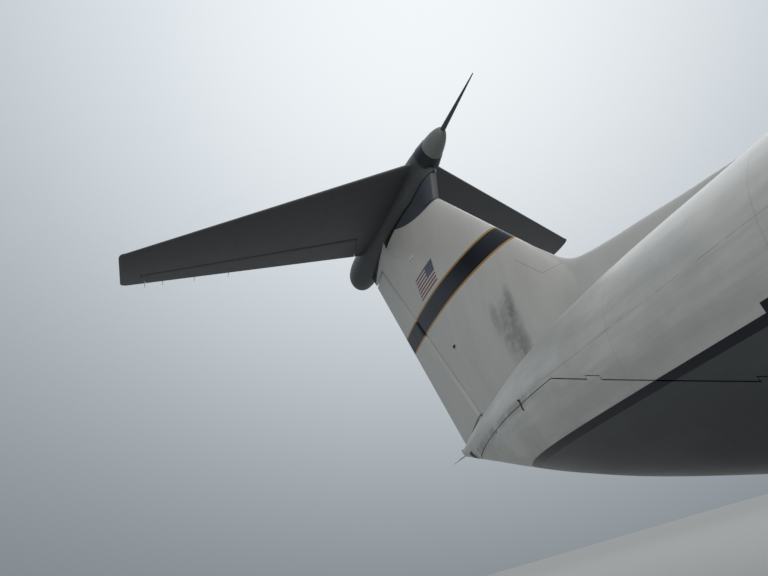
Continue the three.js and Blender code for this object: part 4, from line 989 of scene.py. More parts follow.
# window posts: angles on the skin in degrees, and half a post's width in metres
POSTS = {"angles": (90, 61, 36), "half": 0.045, "radius": 1.9}
# the pane under the slot: its stations, how far past level it reaches, how far below the skin it lies
PANE = {"x": (43.1, 45.88), "past": 0.4, "in": 0.006, "thick": 0.05}
NOSE_GEAR = {"x": 43.1, "wheel_step": 0.26, "radius": 0.455, "width": 0.28}
# the nose wheels' well, the bay round it, and its doors
NOSE_WELL = {"aft": 42.35, "front": 44.6, "half": 0.62, "roof": 1.4}
NOSE_BAY = {"end": 0.15, "side": 0.1, "top": 1.75}
NOSE_DOOR = {"aft": 42.4, "front": 44.5, "inner": 0.67, "outer": 0.71, "low": 0.45, "high": 1.0}
COLLAR_BORE = 0.132
PITOT = {"bend": [(0, 0, 0), (0.03, 0.1, 0), (0.14, 0.15, 0), (0.34, 0.15, 0)], "radii": (0.022, 0.012)}
PITOTS = [(44.0, 2.75), (43.75, 3.05)]
BLADES = [
    # blade aerials: x, height, root chord, 1 on the crown or -1 on the belly
    (38.2, 0.32, 0.34, 1),
    (35.0, 0.26, 0.3, 1),
    (18.6, 0.3, 0.34, 1),
    (36.5, 0.28, 0.3, -1),
    (33.2, 0.22, 0.26, -1),
]


def blade(x, height, chord, up):
    """A swept blade aerial on the middle line: wing sections that shrink from the root to the tip."""
    base = float(column(CROWN if up > 0 else BELLY, x)) - 0.02 * up
    rings = []
    for t in np.linspace(0, 1, 7):
        size = chord * (1 - 0.45 * t)
        ring = section_ring([0, x - 0.45 * chord * t, 0, size * (1 - 0.3 * (t == 1)), 0.12, 0], 0)
        rings.append(ring[:, [0, 2, 1]] + [0, 0, base + up * height * t])
    return capped(np.stack(rings))


def build_nose():
    """The nose shell with its windscreen slot and wheel well, the well's liner and doors, the glass with
    its posts, the radome and the pitot probes. All but the doors follow the skin at a constant depth."""
    well = NOSE_WELL
    slot = side_prism(WINDSCREEN, -3, 3)
    nose = tube(BREAKS["forward"] + SEAT / 2, BREAKS["radome"] - SEAT / 2)
    well_box = block([well["aft"], -well["half"], 0.2], [well["front"], well["half"], well["roof"]])
    piece("nose_fuselage", nose, "skin", replaces=["fuselage_nose"], cuts=[slot, well_box], lining="interior")

    ends = [well["aft"] - NOSE_BAY["end"], well["front"] + NOSE_BAY["end"]]
    half = well["half"] + NOSE_BAY["side"]
    x = steps_between(ends, 0.15)[:, None]
    inside = capped(hull(x, circle(96)[None, :], -WALL - SEAT))
    bay = block([ends[0] - 1, -half, 0.2], [ends[1] + 1, half, NOSE_BAY["top"]])
    bore = rod([NOSE_GEAR["x"], 0, 1], [NOSE_GEAR["x"], 0, 2], COLLAR_BORE, 32)
    piece("nose_well_liner", inside, "interior", replaces=["nose_wheel_bay"], cuts=[well_box, bore], kept=bay)
    low = [NOSE_DOOR[k] for k in ("aft", "inner", "low")]
    high = [NOSE_DOOR[k] for k in ("front", "outer", "high")]
    panel = slab(low, high, 0.012)
    for side, sign in SIDES:
        piece("nose_gear_door_" + side, on_side(panel, sign), "skin", replaces=["nose_door_" + side])

    x = steps_between([BREAKS["radome"] + SEAT / 2, 47.0, NOSE_TIP], 0.05)[:, None]
    piece("nose_radome", capped(hull(x, circle(96)[None, :])), "radome", replaces=["radome"])

    x = steps_between(list(PANE["x"]), 0.05)[:, None]
    angles = np.linspace(-PANE["past"], np.pi + PANE["past"], 120)[None, :]
    pane = shell(hull(x, angles, -PANE["in"]), hull(x, angles, -PANE["thick"] - PANE["in"]))
    piece("windscreen_glass", pane, "glass", replaces=["windscreen"], kept=slot)
    half = POSTS["half"] / POSTS["radius"]
    for degrees in POSTS["angles"]:
        spread = math.radians(degrees) + np.linspace(-half, half, 5)[None, :]
        post = shell(hull(x, spread, 0.006), hull(x, spread, -0.004))
        post = post if degrees == 90 else both_sides(post)
        piece(f"windscreen_posts_{degrees}", post, "skin", kept=slot)
    pitots = []
    for x, z in PITOTS:
        root = hull(x, angle_at(x, z), -0.01)
        pitots.append(pipe([root + step for step in PITOT["bend"]], PITOT["radii"]))
    piece("pitot_probes", both_sides(together(*pitots)), "metal")


def build_fuselage():
    """The fuselage's lengths, its doors with their hinges, and what stands on its skin."""
    build_aft()
    build_petals()
    build_ramp()
    build_nose()
    middle = tube(BREAKS["aft"] + SEAT / 2, BREAKS["centre"] - SEAT / 2)
    piece("centre_fuselage", middle, "skin", replaces=["fuselage_centre"], lining="interior")
    sill = DOORS["crew"][2] - CLEAR / 2
    spots = [[x, CREW_HINGE["out"], sill] for x in CREW_HINGE["stations"]]
    hinges = [knuckles(spot, [1, 0, 0], CREW_HINGE["radius"], CREW_HINGE["length"]) for spot in spots]
    ahead = tube(BREAKS["centre"] + SEAT / 2, BREAKS["forward"] - SEAT / 2, DOORS["crew"])
    rooms = [hinge["middle_room"] for hinge in hinges]
    piece("forward_fuselage", ahead, "skin", replaces=["fuselage_forward"], cuts=rooms, lining="interior")
    for side, sign in SIDES:
        panel = on_side(door_panel(DOORS["paratroop"]), sign)
        piece("paratroop_" + side, panel, "skin", replaces=["paratroop_door_" + side], lining="interior")
        piece("paratroop_seal_" + side, on_side(outline(*DOORS["paratroop"], 0.01), sign), "dark")
        door_fittings("paratroop_" + side, DOORS["paratroop"], sign, "airframe")
    rooms = [room for hinge in hinges for room in hinge["outer_room"]]
    panel = door_panel(DOORS["crew"])
    piece("crew_door_panel", panel, "skin", "crew_door", ["crew_door"], cuts=rooms, lining="interior")
    door_fittings("crew", DOORS["crew"], 1, "crew_door")
    for x, hinge in zip(CREW_HINGE["stations"], hinges):
        tag = str(round(x * 10))
        piece("crew_hinge_fixed_" + tag, hinge["outer"], "gear")
        piece("crew_hinge_moving_" + tag, hinge["middle"], "gear", "crew_door")
    piece("hatch_seals", both_sides(together(*[outline(*hatch) for hatch in HATCHES])), "dark")
    piece("blade_aerials", together(*[blade(*row) for row in BLADES]), "skin")


# Wing and tail surfaces. Their tables' rows are span station, leading edge x, height, chord, thickness ratio
# and twist in degrees

# share of the chord where a section is thickest
MOST_THICK = 0.4
TRAILING_EDGE = 0.008
WING = np.array(
    [
        [0.0, 31.1, 5.0, 10.11, 0.118, 3.0],
        [9.0, 26.415, 4.81, 6.46, 0.112, 2.0],
        [24.1, 18.55, 4.49, 3.42, 0.1, 0.0],
    ]
)
WING_TIP = np.array([24.37, 18.1, 4.485, 2.6, 0.05, 0.0])
WING_CAMBER = 0.014
WING_HINGE = 0.76
WING_SURFACES = [
    # name, inner and outer end along the span, panel of the wing
    ("flap_inboard", 2.9, 8.8, 0),
    ("flap_outboard", 9.3, 17.0, 1),
    ("aileron", 17.25, 23.2, 1),
]
WING_HUMP = np.array(
    [
        # x, ridge height, half width
        [19.2, 5.17, 0.4],
        [20.9, 5.34, 1.2],
        [23.0, 5.58, 1.65],
        [26.5, 5.82, 1.8],
        [29.8, 5.78, 1.7],
        [32.0, 5.42, 1.15],
        [33.4, 5.17, 0.45],
    ]
)
HUMP_BASE = {"height": 4.7, "down": 0.3}
WING_LAMP = {"back": 0.28, "y": 24.28, "reach": (0.16, 0.07, 0.04)}
BEACONS = [((28.0, 0, 5.82), (0.1, 0.1, 0.1)), ((31.0, 0, 0.85), (0.1, 0.1, 0.08))]
STABILISER = np.array([[0.0, 2.56, 11.4, 4.59, 0.1, 0.0], [7.5, -1.51, 11.4, 1.68, 0.1, 0.0]])
STABILISER_TIP = np.array([7.67, -1.75, 11.4, 1.35, 0.06, 0.0])
ELEVATOR = {"inner": 0.97, "outer": 7.1, "hinge": 0.72}
WICK = {"radius": (0.008, 0.004), "length": 0.22}
WING_WICKS = (21.5, 22.4, 23.6)
ELEVATOR_WICKS = (4.6, 5.6, 6.5, 7.0)


def half_thickness(f):
    """Half thickness as a share of the full: an ellipse ahead of 40% chord and a curved taper behind
    it."""
    ahead = 0.5 * np.sqrt(np.clip(1 - ((MOST_THICK - f) / MOST_THICK) ** 2, 0, 1))
    behind = 0.5 * (1 - (np.clip(f - MOST_THICK, 0, 1) / (1 - MOST_THICK)) ** 1.7)
    return np.where(f < MOST_THICK, ahead, behind)


def row_at(table, panel, s):
    """A surface's row at span station s: straight lines between the table's rows."""
    t = (s - table[panel, 0]) / (table[panel + 1, 0] - table[panel, 0])
    return table[panel] + t * (table[panel + 1] - table[panel])


def rounded_tip(last, tip):
    """Rows that round a wing off from its last row to its tip row, by a quarter ellipse."""
    rows = []
    for k in np.linspace(0, 1, 9)[1:]:
        row = last + (tip - last) * (1 - math.sqrt(1 - k * k))
        row[0] = last[0] + (tip[0] - last[0]) * k
        rows.append(row)
    return rows


def section(row, f, side, camber):
    """Points of a section at shares f of the chord: the thickness law on the side above or below the mean
    line, which is a parabola of the camber, turned by the twist about the leading edge."""
    y, front, height, chord, ratio, twist = row
    f = np.asarray(f, float)
    bend = camber * 4 * f * (1 - f)
    lift = side * ((half_thickness(f) * ratio + bend * side) * chord + TRAILING_EDGE / 2)
    c, s = math.cos(math.radians(twist)), math.sin(math.radians(twist))
    return np.stack([front - f * chord * c - lift * s, y + 0 * f, height - f * chord * s + lift * c], -1)


CHORD_POINTS = (1 - np.cos(np.linspace(0, np.pi, 45))) / 2


def section_ring(row, camber):
    """A whole section as a ring: aft along the top, and forward along the underside."""
    upper, lower = section(row, CHORD_POINTS, 1, camber), section(row, CHORD_POINTS[:0:-1], -1, camber)
    return np.concatenate([upper, lower])


def surface_ring(row, hinge, camber):
    """The moving rear part of a section: its skin behind the hinge, and a half circle about the hinge
    line."""
    f = hinge + (1 - hinge) * np.linspace(0, 1, 16)
    top, bottom = section(row, f, 1, camber), section(row, f, -1, camber)[::-1]
    centre = (top[0] + bottom[-1]) / 2
    arm = top[0] - centre
    radius = np.linalg.norm(arm)
    angle = np.linspace(np.pi, 0, 14)[1:-1, None]
    nose = centre + arm * np.cos(angle) + np.array([radius, 0, 0]) * np.sin(angle)
    return np.concatenate([top, bottom, nose]), centre, radius


def surface_plan(inner, outer, ahead, gap):
    """A moving surface's plan, its ends square to the hinge line."""
    (inner_centre, inner_radius), (outer_centre, outer_radius) = inner, outer
    line = outer_centre[:2] - inner_centre[:2]
    line = line / np.linalg.norm(line)
    aft = np.array([-line[1], line[0]])
    corners = [
        (inner_centre, -1, -(inner_radius + ahead)),
        (outer_centre, 1, -(outer_radius + ahead)),
        (outer_centre, 1, 6),
        (inner_centre, -1, 6),
    ]
    return [centre[:2] + line * side * gap + aft * back for centre, side, back in corners]


def control_surface(table, panel, start, end, hinge, camber):
    """A moving surface as a net longer than its place, the prism that keeps its place, and the prism it
    is given room by in the wing."""
    ends = [surface_ring(row_at(table, panel, s), hinge, camber)[1:] for s in (start, end)]
    wide = [surface_ring(row_at(table, panel, s), hinge, camber)[0] for s in (start - 1.2, end + 0.4)]
    t = np.linspace(0, 1, 30)[:, None, None]
    return {
        "whole": capped(wide[0] + (wide[1] - wide[0]) * t),
        "kept": plan_prism(surface_plan(*ends, 0.5, 0), 2, 13),
        "cutter": plan_prism(surface_plan(*ends, HINGE_CLEAR, CLEAR), 2, 13),
    }


def wicks(table, panel, stations, camber):
    """Static wicks: thin tapering rods that trail from the edge at each span station, drooping a
    little."""
    nets = []
    for s in stations:
        edge = section(row_at(table, panel, s), 1.0, 1, camber) + [0.03, 0, -TRAILING_EDGE / 2]
        nets.append(pipe([edge, edge + [-WICK["length"] - 0.03, 0, -0.02]], WICK["radius"], 8, 2))
    return together(*nets)


def build_wings():
    """Straight panels with a rounded tip, their moving surfaces, the root fairing and lamps."""
    surfaces = {
        name: control_surface(WING, panel, start, end, WING_HINGE, WING_CAMBER)
        for name, start, end, panel in WING_SURFACES
    }
    rows = [row_at(WING, 0, s) for s in np.linspace(SEAT / 2, 9.0, 12)]
    rows += [row_at(WING, 1, s) for s in np.linspace(9.0, 24.1, 20)[1:]]
    rows += rounded_tip(WING[-1], WING_TIP)
    wing = capped(np.stack([section_ring(row, WING_CAMBER) for row in rows]))
    lamp = dome([WING_TIP[1] - WING_LAMP["back"], WING_LAMP["y"], WING_TIP[2]], WING_LAMP["reach"])
    for side, sign in SIDES:
        cuts = [on_side(surface["cutter"], sign) for surface in surfaces.values()]
        solid = ["wing_" + side]
        piece("main_wing_" + side, on_side(wing, sign), "wing", replaces=solid, cuts=cuts, crease=40)
        for name, surface in surfaces.items():
            node = name + "_" + side
            whole, kept = (on_side(surface[k], sign) for k in ("whole", "kept"))
            piece("moving_" + node, whole, "wing", node, [node], kept=kept, crease=40)
        piece("wing_lamp_" + side, on_side(lamp, sign), "red_lamp" if sign > 0 else "green_lamp")
        trailing = wicks(WING, 1, WING_WICKS[:2], WING_CAMBER)
        piece("aileron_wicks_" + side, on_side(trailing, sign), "dark", "aileron_" + side)
        piece("wing_wicks_" + side, on_side(wicks(WING, 1, WING_WICKS[2:], WING_CAMBER), sign), "dark")

    x = steps_between([WING_HUMP[0, 0], WING_HUMP[-1, 0]], 0.2)[:, None]
    ridge, half = (smooth(WING_HUMP[:, 0], WING_HUMP[:, k], x) for k in (1, 2))
    angle = circle(80)[None, :]
    base = HUMP_BASE["height"]
    tall = np.where(np.sin(angle) > 0, ridge - base, HUMP_BASE["down"])
    hump = np.stack([x + 0 * angle, half * np.cos(angle), base + tall * np.sin(angle)], -1)
    piece("wing_root_fairing", capped(hump), "skin", replaces=["wing_fairing"])
    piece("beacons", together(*[dome(*row) for row in BEACONS]), "red_lamp")


# Tail

FIN_TOP = 11.1
# run: how far aft an edge goes for each metre of height
FIN = {
    "front_top": (2.4, 10.25),
    "front_run": 0.79,
    "rear_foot": (0.0, 4.29),
    "rear_run": 0.402,
    "thick": 0.128,
}
RUDDER = {"foot": (1.34, 4.63), "head": (-1.55, 10.3), "top": 10.35, "top_gap": 0.09}
# seal: the height of the dark band at the sill's foot, which paints the shadow of the gap under the rudder
RUDDER_SILL = {"height": 4.34, "slope": 0.25, "front": 1.42, "narrower": 0.93, "seal": 0.04}
# the rudder's nose dips as it turns, so its gap over the sill widens forward: x, gap
RUDDER_SILL["gap"] = ((0.7, 1.1), (0.012, 0.038))
DORSAL = np.array(
    [
        # x, ridge height
        [4.9, 7.09],
        [5.3, 6.62],
        [5.55, 6.34],
        [5.75, 6.18],
        [5.95, 6.07],
        [6.3, 5.97],
        [6.9, 5.85],
        [7.7, 5.72],
        [8.43, 5.59],
        [9.34, 5.45],
        [10.2, 5.3],
        [11.0, 5.19],
    ]
)
# half width of the dorsal strip's foot: stations, and widths
DORSAL_FOOT = ([4.9, 5.4, 6.2, 7.7, 9.34, 11.0], [0.0, 0.16, 0.3, 0.29, 0.2, 0.1])
BULLET_HEIGHT = 11.39
BULLET_WIDTH = 0.82
BULLET = [
    # x, radius
    (3.72, 0.0),
    (3.68, 0.09),
    (3.55, 0.19),
    (3.3, 0.285),
    (2.87, 0.365),
    (2.52, 0.43),
    (1.4, 0.53),
    (0.0, 0.57),
    (-1.8, 0.57),
    (-2.9, 0.56),
    (-3.45, 0.5),
    (-3.75, 0.34),
    (-3.86, 0.0),
]
SPIKE = {"tip": (5.46, 11.415), "root": (3.6, 11.39), "radius": (0.07, 0.012)}
# the saddle's prow ahead of the fin: its edge leans forward with height
PROW = {
    "foot": (2.4, 10.22),
    "run": 0.41,
    "top": 10.99,
    "half": 0.208,
    "round": 0.5,
    "back": 0.9,
    "strip": 0.035,
}
# the lip between the fin's top and the bullet: x, height of its lower edge, and depth of the black band below
# it that paints the gap's shadow
LIP = np.array(
    [
        [-0.6, 10.85, 0.2],
        [0.17, 10.82, 0.12],
        [1.5, 10.82, 0.05],
        [2.3, 10.84, 0.03],
        [2.72, 10.88, 0.02],
    ]
)
LIP_ANGLE = math.radians(-40)


def fin_front(z):
    """The fin's leading edge at height z: a straight line."""
    return FIN["front_top"][0] + FIN["front_run"] * (FIN["front_top"][1] - z)


def fin_rear(z):
    """The fin's trailing edge at height z: a straight line."""
    return FIN["rear_foot"][0] - FIN["rear_run"] * (z - FIN["rear_foot"][1])


def rudder_hinge(z):
    """The rudder's hinge line at height z: straight from its foot to its head."""
    (foot_x, foot_z), (head_x, head_z) = RUDDER["foot"], RUDDER["head"]
    return foot_x + (head_x - foot_x) / (head_z - foot_z) * (z - foot_z)


def blade_half(x, z):
    """Half thickness of the fin's own section at a place in side view: its law along the chord, nought
    ahead."""
    front, rear = fin_front(z), fin_rear(z)
    f = np.clip((front - x) / (front - rear), 0, 1)
    return np.where(x < front, half_thickness(f) * FIN["thick"] * (front - rear) + TRAILING_EDGE / 2, 0)


def fin_half(x, z):
    """Half thickness of the fin with the dorsal strip, whose sides lean out from the ridge like a narrow
    tent: the fourth root of the sum of both fourth powers."""
    below = np.clip(smooth(DORSAL[:, 0], DORSAL[:, 1], x) - z, 0, None)
    strip = np.where(x > DORSAL[0, 0], smooth(*DORSAL_FOOT, x) * np.clip(below / 0.75, 0, 1) ** 0.5, 0)
    return (blade_half(x, z) ** 4 + strip**4) ** 0.25


def prow_half(x, z):
    """Half width of the saddle's prow: an ellipse from its leading edge back to its round length."""
    front = PROW["foot"][0] + PROW["run"] * (z - PROW["foot"][1])
    share = np.clip((front - x) / PROW["round"], 0, 1)
    return PROW["half"] * np.sqrt(1 - (1 - share) ** 2)


def fin_outline():
    """The fin's silhouette from its top down the leading edge, round the fillet and along the dorsal
    ridge."""
    z = np.linspace(FIN_TOP, DORSAL[0, 1], 60)[:-1]
    return np.concatenate([np.stack([fin_front(z), z], -1), rounded(DORSAL, 7)])


def rudder_cut():
    """Where the fin ends ahead of the rudder: a line in front of the rudder's round nose, as a point and
    a slope."""
    ends = []
    for z in (RUDDER["foot"][1], RUDDER["top"]):
        radius = float(blade_half(rudder_hinge(z), z))
        ends.append((rudder_hinge(z) + radius + HINGE_CLEAR, z))
    (x0, z0), (x1, z1) = ends
    return x0, z0, (x1 - x0) / (z1 - z0)


def bullet_net():
    """The bullet fairing: its smooth profile turned about its axis, narrower than it is tall."""
    profile = rounded(BULLET, 8)
    profile = np.stack([BULLET[0][0] - profile[:, 0], np.clip(profile[:, 1], 0, None)], -1)
    return moved(turned(profile, 72, BULLET_WIDTH), BULLET[0][0], 0, BULLET_HEIGHT)


def fin_plate(x0, x1, z0, z1, out, deep=0.02):
    """A plate on both sides of the fin: the fin's half thickness over an oblong, moved out and in."""
    x, z = np.broadcast_arrays(np.linspace(x0, x1, 8)[:, None], np.linspace(z0, z1, 8)[None, :])
    half = fin_half(x, z)
    outer, inner = (np.stack([x, half + grow, z], -1) for grow in (out, -deep))
    return both_sides(shell(outer, inner))


def build_fin():
    """The fin from a grid between its silhouette and its rear boundary: up the cut ahead of the rudder,
    and along the crown ahead of it. Both halves share the leading edge. A bead of sealant follows the
    foot, and a strip of the same section closes the fin above the rudder."""
    front = fin_outline()
    x0, z0, slope = rudder_cut()
    along_crown = 30
    upper = np.linspace(FIN_TOP, z0, len(front) - along_crown)
    crown_x = np.linspace(x0, 10.98, along_crown + 1)[1:]
    cut = np.stack([x0 + slope * (upper - z0), upper], -1)
    rear = np.concatenate([cut, np.stack([crown_x, column(CROWN, crown_x) - 0.06], -1)])
    near = ((1 - np.cos(np.linspace(0, np.pi, 60))) / 2) ** 1.15
    points = front[:, None] + (rear - front)[:, None] * near[None, :, None]
    half = fin_half(points[..., 0], points[..., 1])
    half[:, 0] = 0
    port = np.stack([points[..., 0], half, points[..., 1]], -1)
    starboard = port * [1, -1, 1]
    ring = np.concatenate([port[:, ::-1], starboard[:, 1:]], 1)
    ends = [sheet(np.stack([port[k], starboard[k]])) for k in (0, -1)]
    net = together(sheet(np.concatenate([ring, ring[:, :1]], 1)), *ends)
    piece("fin_skin", net, "fin", replaces=["fin"], crease=40)
    x = np.linspace(1.5, 9.6, 28)
    crown, wide = column(CROWN, x), column(WIDEST, x)
    foot = fin_half(x, crown) + 0.004
    height = wide + (crown - wide) * np.sqrt(1 - (foot / column(HALF, x)) ** 2)
    bead = pipe(np.stack([x, foot, height], -1), (0.014, 0.01), 8, 2)
    piece("fin_root_seal", both_sides(bead), "seal")

    # the strip of fin above the rudder, up to the bullet
    rings = []
    for height in np.linspace(RUDDER["top"] + RUDDER["top_gap"], FIN_TOP, 6):
        aft = np.linspace(fin_rear(height), x0 + slope * (height - z0) + 0.02, 24)
        side = np.stack([aft, blade_half(aft, height), np.full_like(aft, height)], -1)
        rings.append(np.concatenate([side, side[::-1] * [1, -1, 1]]))
    piece("fin_cap_aft", capped(np.stack(rings)), "fin", crease=40)


def build_rudder():
    """The rudder, kept above its sloping sill line and clear of the tail cone, and the sill under it: the
    rudder's own section, a little narrower, from the crown up to the line, with a dark band along its
    foot that paints the shadow of the gap between the rudder and the tail cone."""
    rings = []
    for height in np.linspace(4.0, RUDDER["top"], 40):
        row = [height, fin_front(height), 0, fin_front(height) - fin_rear(height), FIN["thick"], 0]
        rings.append(surface_ring(row, (row[1] - rudder_hinge(height)) / row[3], 0)[0][:, [0, 2, 1]])
    sill = [(x, RUDDER_SILL["height"] + RUDDER_SILL["slope"] * x) for x in (-4, 8)]
    above = side_prism([sill[0], (-4, 12), (8, 12), sill[1]], -2, 2)
    x = steps_between([0.0, 3.5], 0.1)[:, None]
    room = capped(hull(x, circle(60)[None, :], CLEAR))
    net = capped(np.stack(rings))
    piece("rudder_skin", net, "fin", "rudder", ["rudder"], kept=above, cuts=[room], crease=40)

    x = np.linspace(0.02, RUDDER_SILL["front"], 30)
    line = RUDDER_SILL["height"] + RUDDER_SILL["slope"] * x
    half = RUDDER_SILL["narrower"] * blade_half(x, line)
    crown, top = column(CROWN, x), line - np.interp(x, *RUDDER_SILL["gap"])
    foot = np.minimum(crown + RUDDER_SILL["seal"], top - 0.002)
    # the dark level is painted shadow of the gap along the crown; the skin level is the sill
    levels = {"dark": (crown - 0.05, foot), "skin": (foot, top)}
    for finish, heights in levels.items():
        sides = [np.stack([x, half, z], -1) for z in heights]
        rings = np.stack([np.concatenate([side, side[::-1] * [1, -1, 1]]) for side in sides])
        piece("rudder_sill_" + finish, capped(rings), finish)


def build_saddle():
    """The prow ahead of the fin's top, its paler edge strip, which paints a highlight, and the pale lip that
    runs between the fin and the bullet's underside, with a black band below it that paints the gap's shadow."""
    z = np.linspace(PROW["foot"][1], PROW["top"], 16)[:, None]
    front = PROW["foot"][0] + PROW["run"] * (z - PROW["foot"][1])
    turn = np.linspace(-np.pi / 2, np.pi / 2, 33)[None, :]
    x = front - PROW["round"] * (1 - np.cos(turn))
    grid = np.stack([x, PROW["half"] * np.sin(turn) + 0 * x, z + 0 * x], -1)
    back = grid[:, [-1, 0]] - [PROW["back"], 0, 0]
    piece("saddle_prow", capped(np.concatenate([grid, back], 1)), "saddle", crease=40)
    # the edge strip, paler than the saddle, paints the highlight along the prow's leading edge
    reach = math.acos(1 - PROW["strip"] / PROW["round"])
    turn = np.linspace(-reach, reach, 17)[None, :]
    layers = []
    for grow in (0.004, -0.01):
        x = front - PROW["round"] * (1 - np.cos(turn)) + grow * np.cos(turn)
        layers.append(np.stack([x, (PROW["half"] + grow) * np.sin(turn) + 0 * x, z + 0 * x], -1))
    piece("saddle_edge", shell(*layers), "edge")

    x = steps_between([LIP[0, 0], LIP[-1, 0]], 0.1)[:, None]
    low, deep = (np.interp(x, LIP[:, 0], LIP[:, k]) for k in (1, 2))
    aft_to_front = BULLET[::-1]
    radius = smooth([row[0] for row in aft_to_front], [row[1] for row in aft_to_front], x)
    y0 = np.maximum(blade_half(x, low), prow_half(x, low)) + 0.012
    y1, high = radius * BULLET_WIDTH * math.cos(LIP_ANGLE), BULLET_HEIGHT + radius * math.sin(LIP_ANGLE)
    t = np.linspace(0, 1, 7)[None, :]
    y = y0 + (y1 - y0) * t**1.6
    outer = np.stack([x + 0 * t, y, low + (high - low) * t], -1)
    piece("saddle_lip", both_sides(shell(outer, outer - [0, 0.03, 0])), "lip")
    # a black band below the lip: painted shadow of the gap between the fin and the bullet
    z = low - deep * (1 - t)
    half = np.maximum(blade_half(x, z), prow_half(x, z)) + 0.006
    seal = np.stack([x + 0 * t, half, z], -1)
    piece("saddle_gap_shade", both_sides(shell(seal, seal - [0, 0.03, 0])), "dark")


def build_tailplane():
    """The tailplane in one piece across the fin, its elevators, and the bullet with its probe, ring and
    lamp."""
    elevator = control_surface(STABILISER, 0, ELEVATOR["inner"], ELEVATOR["outer"], ELEVATOR["hinge"], 0)
    rows = [row_at(STABILISER, 0, s) for s in np.linspace(0, 7.5, 20)]
    rows += rounded_tip(STABILISER[-1], STABILISER_TIP)
    half_plane = np.stack([section_ring(row, 0) for row in rows])
    whole = capped(np.concatenate([(half_plane * [1, -1, 1])[:0:-1], half_plane]))
    cuts = [elevator["cutter"], on_side(elevator["cutter"], -1)]
    piece("tailplane", whole, "tail", replaces=["stabiliser"], cuts=cuts, crease=40)
    trailing = wicks(STABILISER, 0, ELEVATOR_WICKS, 0)
    for side, sign in SIDES:
        node = "elevator_" + side
        surface, kept = (on_side(elevator[k], sign) for k in ("whole", "kept"))
        piece("moving_" + node, surface, "tail", node, [node], kept=kept, crease=40)
        piece("elevator_wicks_" + side, on_side(trailing, sign), "dark", node)

    piece("bullet_fairing", bullet_net(), "bullet", replaces=["tail_bullet"], crease=50)
    (tip_x, tip_z), (root_x, root_z) = SPIKE["tip"], SPIKE["root"]
    spike = pipe([[root_x, 0, root_z], [tip_x, 0, tip_z]], SPIKE["radius"], 20, 24)
    piece("probe", spike, "probe", replaces=["tail_probe"])
    middle, reach = BULLET_RING
    x = np.linspace(middle - reach, middle + reach, 9)
    radius = smooth([row[0] for row in BULLET[::-1]], [row[1] for row in BULLET[::-1]], x)
    band_line = np.stack([-x, radius + 0.014], -1)[::-1]
    under = np.stack([-x, radius - 0.02], -1)
    ring = turned(np.concatenate([band_line, under, band_line[:1]]), 72, BULLET_WIDTH)
    piece("bullet_ring", moved(ring, 0, 0, BULLET_HEIGHT), "navy", crease=50)
    cap = dome([middle + reach - 0.03, 0, BULLET_HEIGHT + radius[-1] + 0.01], [0.05, 0.05, 0.04])
    piece("bullet_cap", cap, "dark")
    piece("tail_lamp", dome([-3.8, 0, BULLET_HEIGHT], [0.08, 0.1, 0.12]), "clear_lamp")


TAIL_WEDGE = {"x": (0.6, 0.92), "z": (3.86, 4.02)}
# points along the hook on the tail cone, and the ends of the two wicks below it
TAIL_HOOK = [(-0.03, -0.08, 4.27), (-0.125, -0.1, 4.27), (-0.113, -0.1, 4.205), (-0.05, -0.1, 4.13)]
TAIL_WICKS = [((-0.02, 0.0, 4.17), (-0.75, 0.06, 4.18)), ((-0.02, 0.0, 4.15), (-0.85, -0.05, 4.12))]
# a hook and a stud on the petal doors, and a lamp and an aerial on the fin, all in side view
HULL_HOOK = [(4.9, 3.9), (4.945, 3.893), (4.97, 3.82), (4.99, 3.74), (5.015, 3.69)]
HULL_RIVET = (3.447, 3.77)
FIN_LIGHT = {"x": (0.62, 0.88), "z": (9.41, 9.5)}
FIN_AERIAL = (1.45, 6.43)


def tail_fittings():
    """The small things on the tail cone, the petal doors and the fin: bent rods along their points, and
    plates and studs that follow the skin under them."""
    rows = [np.linspace(*TAIL_WEDGE[k], 6) for k in ("x", "z")]
    x, z = np.broadcast_arrays(rows[0][:, None], rows[1][None, :])
    piece("tail_wedges", both_sides(patch(x, z, 0.006)), "dark")
    hook = pipe(TAIL_HOOK, (0.02, 0.016), 10, 4)
    rods = [pipe(ends, (0.007, 0.004), 8, 2) for ends in TAIL_WICKS]
    piece("tail_hook_and_wicks", together(hook, *rods), "dark")
    for side, sign in SIDES:
        body = "petal_door_" + side
        bent = pipe([hull(x, angle_at(x, z), 0.012) for x, z in HULL_HOOK], (0.014, 0.01), 10, 4)
        piece("seam_hook_" + side, on_side(bent, sign), "dark", body)
        piece("seam_rivet_" + side, on_side(window(*HULL_RIVET, 0, 0.022, 0.006), sign), "dark", body)
    light = fin_plate(*FIN_LIGHT["x"], *FIN_LIGHT["z"], 0.012)
    piece("fin_lights", light, "clear_lamp")
    x, z = FIN_AERIAL
    piece("fin_aerials", fin_plate(x - 0.05, x + 0.05, z - 0.03, z + 0.03, 0.02), "dark")


# Engines

ENGINES = [
    # number, y, x of the lip, z of the axis
    ("1", 11.9, 29.3, 3.2),
    ("2", 6.9, 31.9, 3.3),
    ("3", -6.9, 31.9, 3.3),
    ("4", -11.9, 29.3, 3.2),
]
NACELLE = [
    # distance behind the lip, radius: outside from the jet pipe to the lip, and inside back again
    (6.6, 0.52),
    (5.0, 0.71),
    (3.4, 0.86),
    (2.4, 0.93),
    (0.8, 0.93),
    (0.18, 0.87),
    (0.05, 0.83),
    (0.0, 0.79),
    (0.03, 0.755),
    (0.12, 0.73),
    (0.9, 0.73),
    (2.0, 0.73),
    (5.2, 0.6),
    (6.6, 0.46),
]
# the polished lip, and the point in the wall that its inside shrinks towards
LIP_RING = [
    (0.26, 0.882),
    (0.18, 0.874),
    (0.05, 0.834),
    (-0.004, 0.79),
    (0.028, 0.751),
    (0.12, 0.726),
    (0.16, 0.726),
]
LIP_CORE = np.array([0.14, 0.8])
